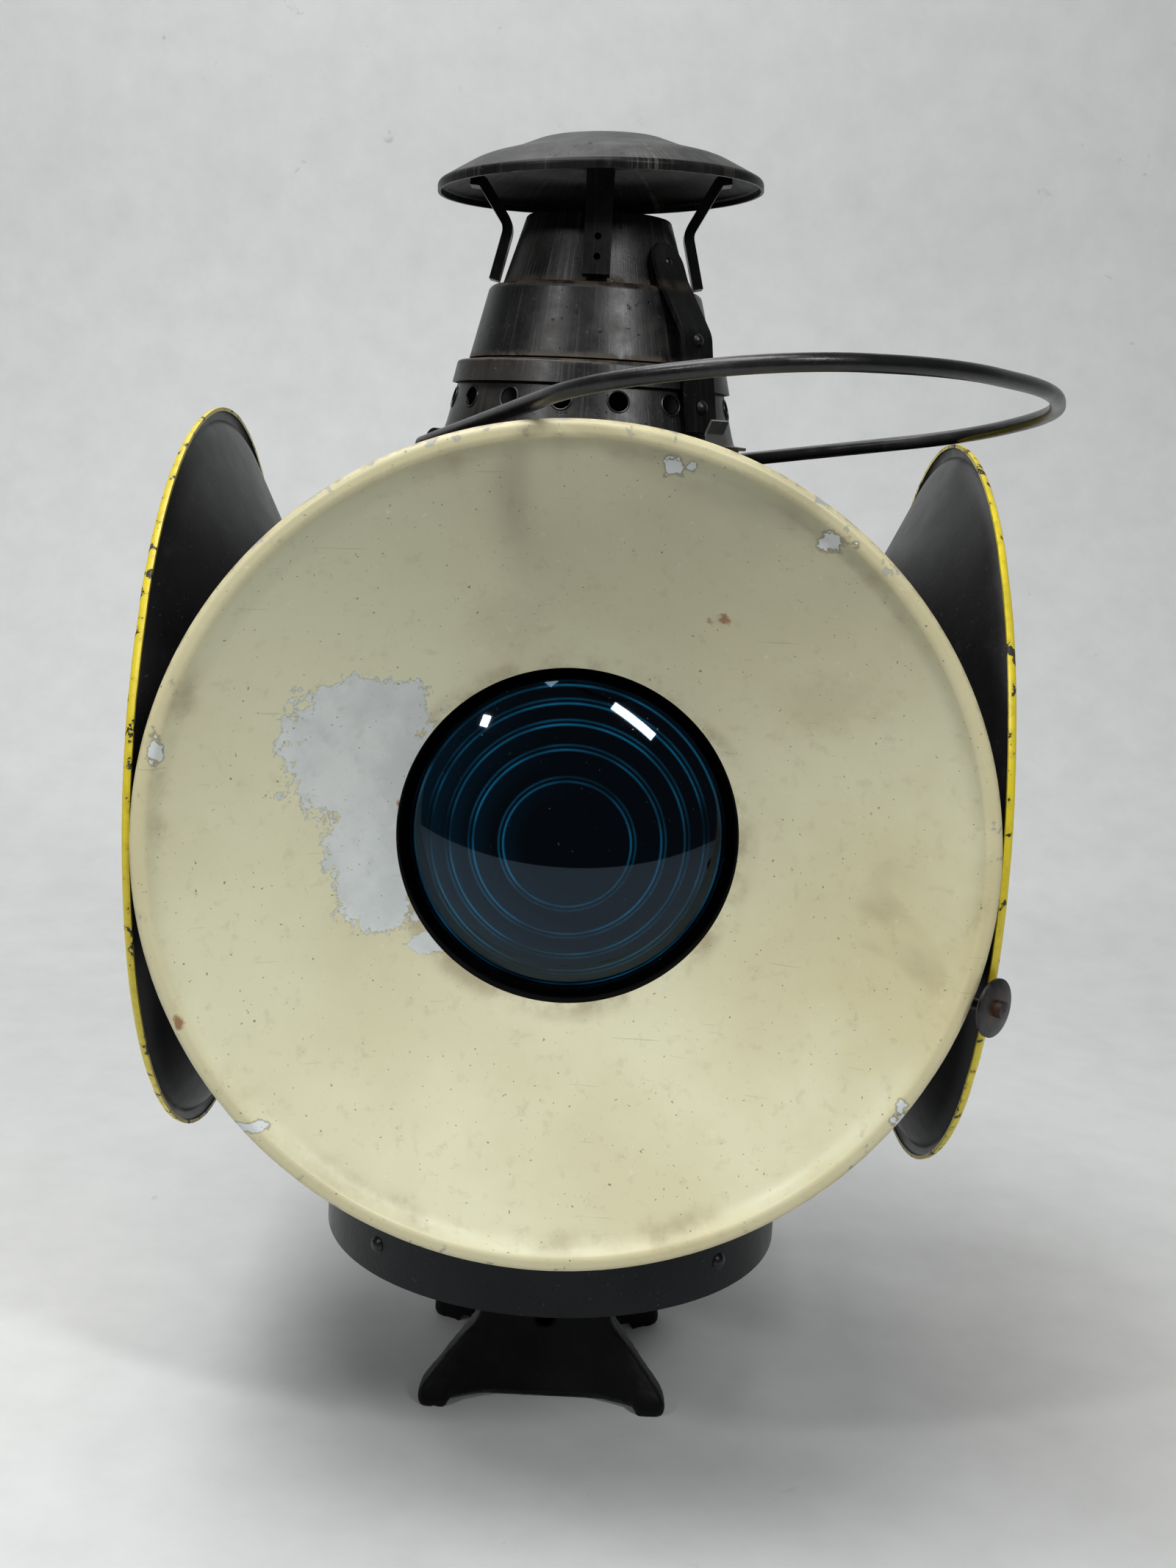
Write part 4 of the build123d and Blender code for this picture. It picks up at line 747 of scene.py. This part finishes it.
# a row of equal heads round an axis, made with Geometry Nodes
def headRowTree():
    tree = bpy.data.node_groups.new("headRow", "GeometryNodeTree")
    for name, kind in (("Head", "Object"), ("Count", "Int"), ("Reach", "Float"), ("Height", "Float"),
                       ("First angle", "Float"), ("Roll", "Float"), ("Seed", "Int"), ("Finish", "Material")):
        tree.interface.new_socket(name, in_out="INPUT", socket_type=f"NodeSocket{kind}")
    tree.interface.new_socket("Geometry", in_out="OUTPUT", socket_type="NodeSocketGeometry")
    given = addNode(tree, "NodeGroupInput").outputs
    number = addNode(tree, "GeometryNodeInputIndex").outputs[0]
    pitch = calc(tree, "DIVIDE", 2 * math.pi, given["Count"])
    angle = calc(tree, "MULTIPLY_ADD", number, pitch, given["First angle"])
    line = addNode(tree, "GeometryNodeMeshLine", {"Count": given["Count"], "Offset": (0, 0, 0)}).outputs[0]
    x = times(tree, calc(tree, "COSINE", angle), given["Reach"])
    y = times(tree, calc(tree, "SINE", angle), given["Reach"])
    place = addNode(tree, "ShaderNodeCombineXYZ", {"X": x, "Y": y, "Z": given["Height"]}).outputs[0]
    points = addNode(tree, "GeometryNodeSetPosition", {"Geometry": line, "Position": place}).outputs[0]
    chance = {3: given["Roll"], "Seed": given["Seed"]}
    roll = addNode(tree, "FunctionNodeRandomValue", chance, data_type="FLOAT").outputs[1]
    turn = addNode(tree, "ShaderNodeCombineXYZ", {"X": roll, "Z": angle}).outputs[0]
    turned = addNode(tree, "FunctionNodeEulerToRotation", {0: turn}).outputs[0]
    head = addNode(tree, "GeometryNodeObjectInfo", {"Object": given["Head"]}).outputs["Geometry"]
    copying = {"Points": points, "Instance": head, "Rotation": turned}
    copies = addNode(tree, "GeometryNodeInstanceOnPoints", copying).outputs[0]
    solid = addNode(tree, "GeometryNodeRealizeInstances", {0: copies}).outputs[0]
    painted = addNode(tree, "GeometryNodeSetMaterial", {"Geometry": solid, "Material": given["Finish"]})
    addNode(tree, "NodeGroupOutput", {"Geometry": painted.outputs[0]})
    return tree


def headRow(tree, head, finish, sizes, roll=0.0, seed=0, place=Matrix()):
    holder = bpy.data.objects.new("headRowHolder", bpy.data.meshes.new("headRowHolder"))
    scene.collection.objects.link(holder)
    row = holder.modifiers.new("row", "NODES")
    row.node_group = tree
    values = {"Head": head, "Count": sizes["count"], "Reach": sizes["reach"], "Height": sizes["height"],
              "First angle": sizes["firstAngle"], "Roll": roll, "Seed": seed, "Finish": finish}
    for item in tree.interface.items_tree:
        if item.in_out == "INPUT":
            row[item.identifier] = values[item.name]
    ready = holder.evaluated_get(bpy.context.evaluated_depsgraph_get())
    mesh = bpy.data.meshes.new_from_object(ready)
    bpy.data.objects.remove(holder)
    mesh.transform(place)
    return mesh


def joined(name, meshes):
    shape = bmesh.new()
    for mesh in meshes:
        shape.from_mesh(mesh)
        bpy.data.meshes.remove(mesh)
    return finishMesh(name, shape, meshSizes["rowSharp"])


def headMesh(name, outline, segments=28, tilt=0.0, slot=None):
    # a head turned about its own +X, which stands outwards; tilt leans it upwards
    lean = Matrix.Rotation(-tilt, 4, "Y") @ Matrix.Rotation(math.pi / 2, 4, "Y")
    piece = turnedPiece(name, outline, segments, lean)
    if slot:
        cutter = bmesh.new()
        blade = Matrix.Diagonal((slot["depth"] * 2, slot["width"], slot["length"], 1))
        bmesh.ops.create_cube(cutter, size=1, matrix=blade)
        bmesh.ops.translate(cutter, verts=cutter.verts, vec=(slot["top"], 0, 0))
        tool = finishMesh(name + "Slot", cutter)
        cut = piece.modifiers.new("slot", "BOOLEAN")
        cut.object = tool
        cut.solver = "EXACT"
        ready = piece.evaluated_get(bpy.context.evaluated_depsgraph_get())
        piece.data = bpy.data.meshes.new_from_object(ready)
        piece.modifiers.clear()
        bpy.data.objects.remove(tool)
    piece.hide_render = True
    return piece


# neck is the shank's share of the radius; edge and crown are shares of the rise
domeShape = {"neck": 0.5, "edge": 0.12, "crown": 0.97, "steps": 9}


def domeOutline(radius, rise, shank):
    # a riveted head: a small upright edge, a dome and a hammered flat on top
    d = domeShape
    ball = (radius ** 2 + rise ** 2) / (2 * rise)
    neck = radius * d["neck"]
    outline = [(0, -shank), (neck, -shank), (neck, 0.0), (radius, 0.0), (radius, rise * d["edge"])]
    for step in range(1, d["steps"] - 1):
        across = radius * (1 - step / d["steps"])
        outline.append((across, rise - ball + math.sqrt(ball ** 2 - across ** 2)))
    return outline + [(0, rise * d["crown"])]


bandRivetSizes = {"count": 4, "reach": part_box("base_band")[1].x, "height": 0.087, "firstAngle": math.pi / 4,
                  "radius": 0.0036, "rise": 0.0021, "shank": 0.0025, "seed": 3}
tieRivetSizes = [
    {"reach": 0.0405, "height": 0.4982, "radius": 0.0026, "rise": 0.0016, "tilt": 0.41},
    {"reach": 0.0599, "height": 0.4670, "radius": 0.0028, "rise": 0.0018, "tilt": 0.16},
    {"reach": 0.0641, "height": 0.4407, "radius": 0.0030, "rise": 0.0018, "tilt": 0.16},
]
tieRivetRow = {"count": 2, "firstAngle": -math.pi / 4, "shank": 0.0022}
ventHoleSizes = {"count": 16, "reach": 0.0583, "height": 0.4410, "firstAngle": math.pi / 16, "radius": 0.0043,
                 "lip": 0.00042, "tilt": 0.254, "lipCorners": 8, "segments": 32}
targetScrewSizes = {"count": 3, "reach": 0.0731, "height": 0.108, "firstAngle": math.pi / 2, "radius": 0.0029,
                    "rise": 0.0016, "shank": 0.001, "neck": 0.6, "segments": 24, "seed": 11,
                    "profile": [(1, 0.55), (0.86, 0.88), (0.5, 1), (0, 1)],
                    "slot": {"width": 0.0007, "depth": 0.0007, "top": 0.0016, "length": 0.02}}


def makeBandRivets(tree, finish):
    s = bandRivetSizes
    head = headMesh("bandRivetHead", domeOutline(s["radius"], s["rise"], s["shank"]))
    row = headRow(tree, head, finish, s, 2 * math.pi, s["seed"])
    bpy.data.objects.remove(head)
    dress(joined("bandRivets", [row]), "lamp", "rivet_black", [finish], "band_rivets")


def makeTieRivets(tree, finish):
    rows = []
    for level in tieRivetSizes:
        s = tieRivetRow | level
        head = headMesh("tieRivetHead", domeOutline(s["radius"], s["rise"], s["shank"]), tilt=s["tilt"])
        rows.append(headRow(tree, head, finish, s))
        bpy.data.objects.remove(head)
    dress(joined("tieStrapRivets", rows), "lid", "rivet_black", [finish], "tie_rivets")


def makeHoleLips(tree, finish):
    s = ventHoleSizes
    corners = [2 * math.pi * i / s["lipCorners"] for i in range(s["lipCorners"])]
    outline = [(s["radius"] + s["lip"] * math.cos(a), s["lip"] * math.sin(a)) for a in corners]
    head = headMesh("ventHoleLip", outline, s["segments"], tilt=s["tilt"])
    row = headRow(tree, head, finish, s)
    bpy.data.objects.remove(head)
    dress(joined("ventHoleLips", [row]), "lid", "vent_black", [finish])


def makeTargetScrews(tree, finish):
    s = targetScrewSizes
    radius, rise = s["radius"], s["rise"]
    neck = radius * s["neck"]
    outline = [(0, -s["shank"]), (neck, -s["shank"]), (neck, 0), (radius, 0)]
    outline += [(radius * across, rise * up) for across, up in s["profile"]]
    head = headMesh("targetScrewHead", outline, s["segments"], slot=s["slot"])
    for number, (side, outward) in enumerate(outwards.items()):
        place = facing(outward, (0, 0, lensHeight))
        row = headRow(tree, head, finish, s, 2 * math.pi, s["seed"] + number, place)
        dress(joined(f"{side}TargetScrews", [row]), "lamp", "rivet_black", [finish], f"{side}_target_screws")
    bpy.data.objects.remove(head)


# draught chimney inside the ventilator, hung from the upper cone's foot
chimneySizes = {"outline": [(0.0368, 0.4385), (0.0374, 0.4385), (0.0392, 0.4856), (0.0386, 0.4856)],
                "segments": 96}


def makeChimney(finish):
    piece = turnedPiece("draughtChimney", chimneySizes["outline"], chimneySizes["segments"], Matrix())
    dress(piece, "lid", "vent_black", [finish])


# cast base: the solid's own shape, softened as a sand casting is
castingSizes = {"voxel": 0.0013, "smoothing": 9, "roughness": 0.00018, "roughScale": 380, "sole": 0.0009,
                "weld": 1e-6, "softness": 0.5}


def makeCasting(finish):
    s = castingSizes
    low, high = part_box("base_bracket")
    mesh = cadNodes["base_bracket"].data.copy()
    shape = bmesh.new()
    shape.from_mesh(mesh)
    bmesh.ops.remove_doubles(shape, verts=shape.verts, dist=s["weld"])
    shape.to_mesh(mesh)
    shape.free()
    piece = bpy.data.objects.new("baseCasting", mesh)
    scene.collection.objects.link(piece)
    remesh = piece.modifiers.new("remesh", "REMESH")
    remesh.mode = "VOXEL"
    remesh.voxel_size = s["voxel"]
    remesh.adaptivity = 0
    soften = piece.modifiers.new("soften", "SMOOTH")
    soften.factor = s["softness"]
    soften.iterations = s["smoothing"]
    ready = piece.evaluated_get(bpy.context.evaluated_depsgraph_get())
    piece.data = bpy.data.meshes.new_from_object(ready)
    piece.modifiers.clear()
    bpy.data.meshes.remove(mesh)
    places = []
    for vertex in piece.data.vertices:
        point = vertex.co + vertex.normal * (noise.noise(vertex.co * s["roughScale"]) * s["roughness"])
        if point.z < low.z + s["sole"]:
            point.z = low.z
        places += [min(max(point[i], low[i]), high[i]) for i in range(3)]
    piece.data.vertices.foreach_set("co", places)
    piece.data.update()
    piece.data.polygons.foreach_set("use_smooth", [True] * len(piece.data.polygons))
    dress(piece, "lamp", "cast_black", [finish], "base_bracket")


def makeFinishes():
    finishes = {key: blackPaint(key, key) for key in blackLooks}
    for key, sheet in ventSheets.items():
        finishes[key] = ventPaint(**sheet)
    finishes["brass"] = brassTarnish("burnerBrass")
    finishes["tin"] = tinPlate("fountTin")
    finishes["gasket"] = feltGasket("lensGasket")
    finishes["wick"] = wickCotton("wickCotton")
    finishes["knob"] = rustyKnob("knobBlack")
    finishes["holeLip"] = blackPaint("wornHoleLip", "rivet")
    return finishes


nodeFinishes = {
    "bodyBlack": ["body_drum", "body_floor", "roof", "bail_ears", "lid_hinge_base"]
    + [f"{side}_{part}" for side in outwards for part in ("lens_barrel", "retainer")],
    "bandBlue": ["base_band"],
    "vent": ["vent_ring", "vent_skirt", "lower_cone"],
    "capSheet": ["cap_straps", "front_tie_strap", "rear_tie_strap", "lid_hinge_leaf", "lid_tab"],
    "webbedCap": ["cap"],
    "brushedVent": ["upper_cone"],
    "wire": ["bail"],
    "rivet": ["lid_hinge_pin", "socket_set_screw", "bracket_bolts", "stem_bush"],
    "tin": ["lid_catch_spring", "fount_seat", "oil_fount"],
    "brass": ["fount_filler_cap", "burner", "wick_tube", "wick_wheel_spindle"],
    "wick": ["wick"],
    "knob": ["wick_knob", "wick_stem"],
    "gasket": [f"{side}_gasket" for side in outwards],
}

aimCamera()
lightRoom()
hangSweep()
print("camera, lights and sweep are up")
finishes = makeFinishes()
for key, names in nodeFinishes.items():
    for name in names:
        paintNode(name, finishes[key])
for side in outwards:
    colour, glass = ("cream", "blue") if side in ("front", "back") else ("yellow", "amber")
    face = enamel(f"{side}Enamel", enamelLooks[colour], side, patched=side == "front")
    makeTarget(side, face, finishes["targetBack"], f"{colour}_target")
    paintNode(f"{side}_lens", lensGlass(f"{side}LensGlass", lensLooks[glass], side))
print("targets and lenses are made")
rowTree = headRowTree()
makeBandRivets(rowTree, finishes["rivet"])
makeTieRivets(rowTree, finishes["rivet"])
makeHoleLips(rowTree, finishes["holeLip"])
makeTargetScrews(rowTree, finishes["rivet"])
print("rivets, screws and hole lips are made")
makeChimney(finishes["bodyBlack"])
makeCasting(finishes["castIron"])
print("base casting is made")
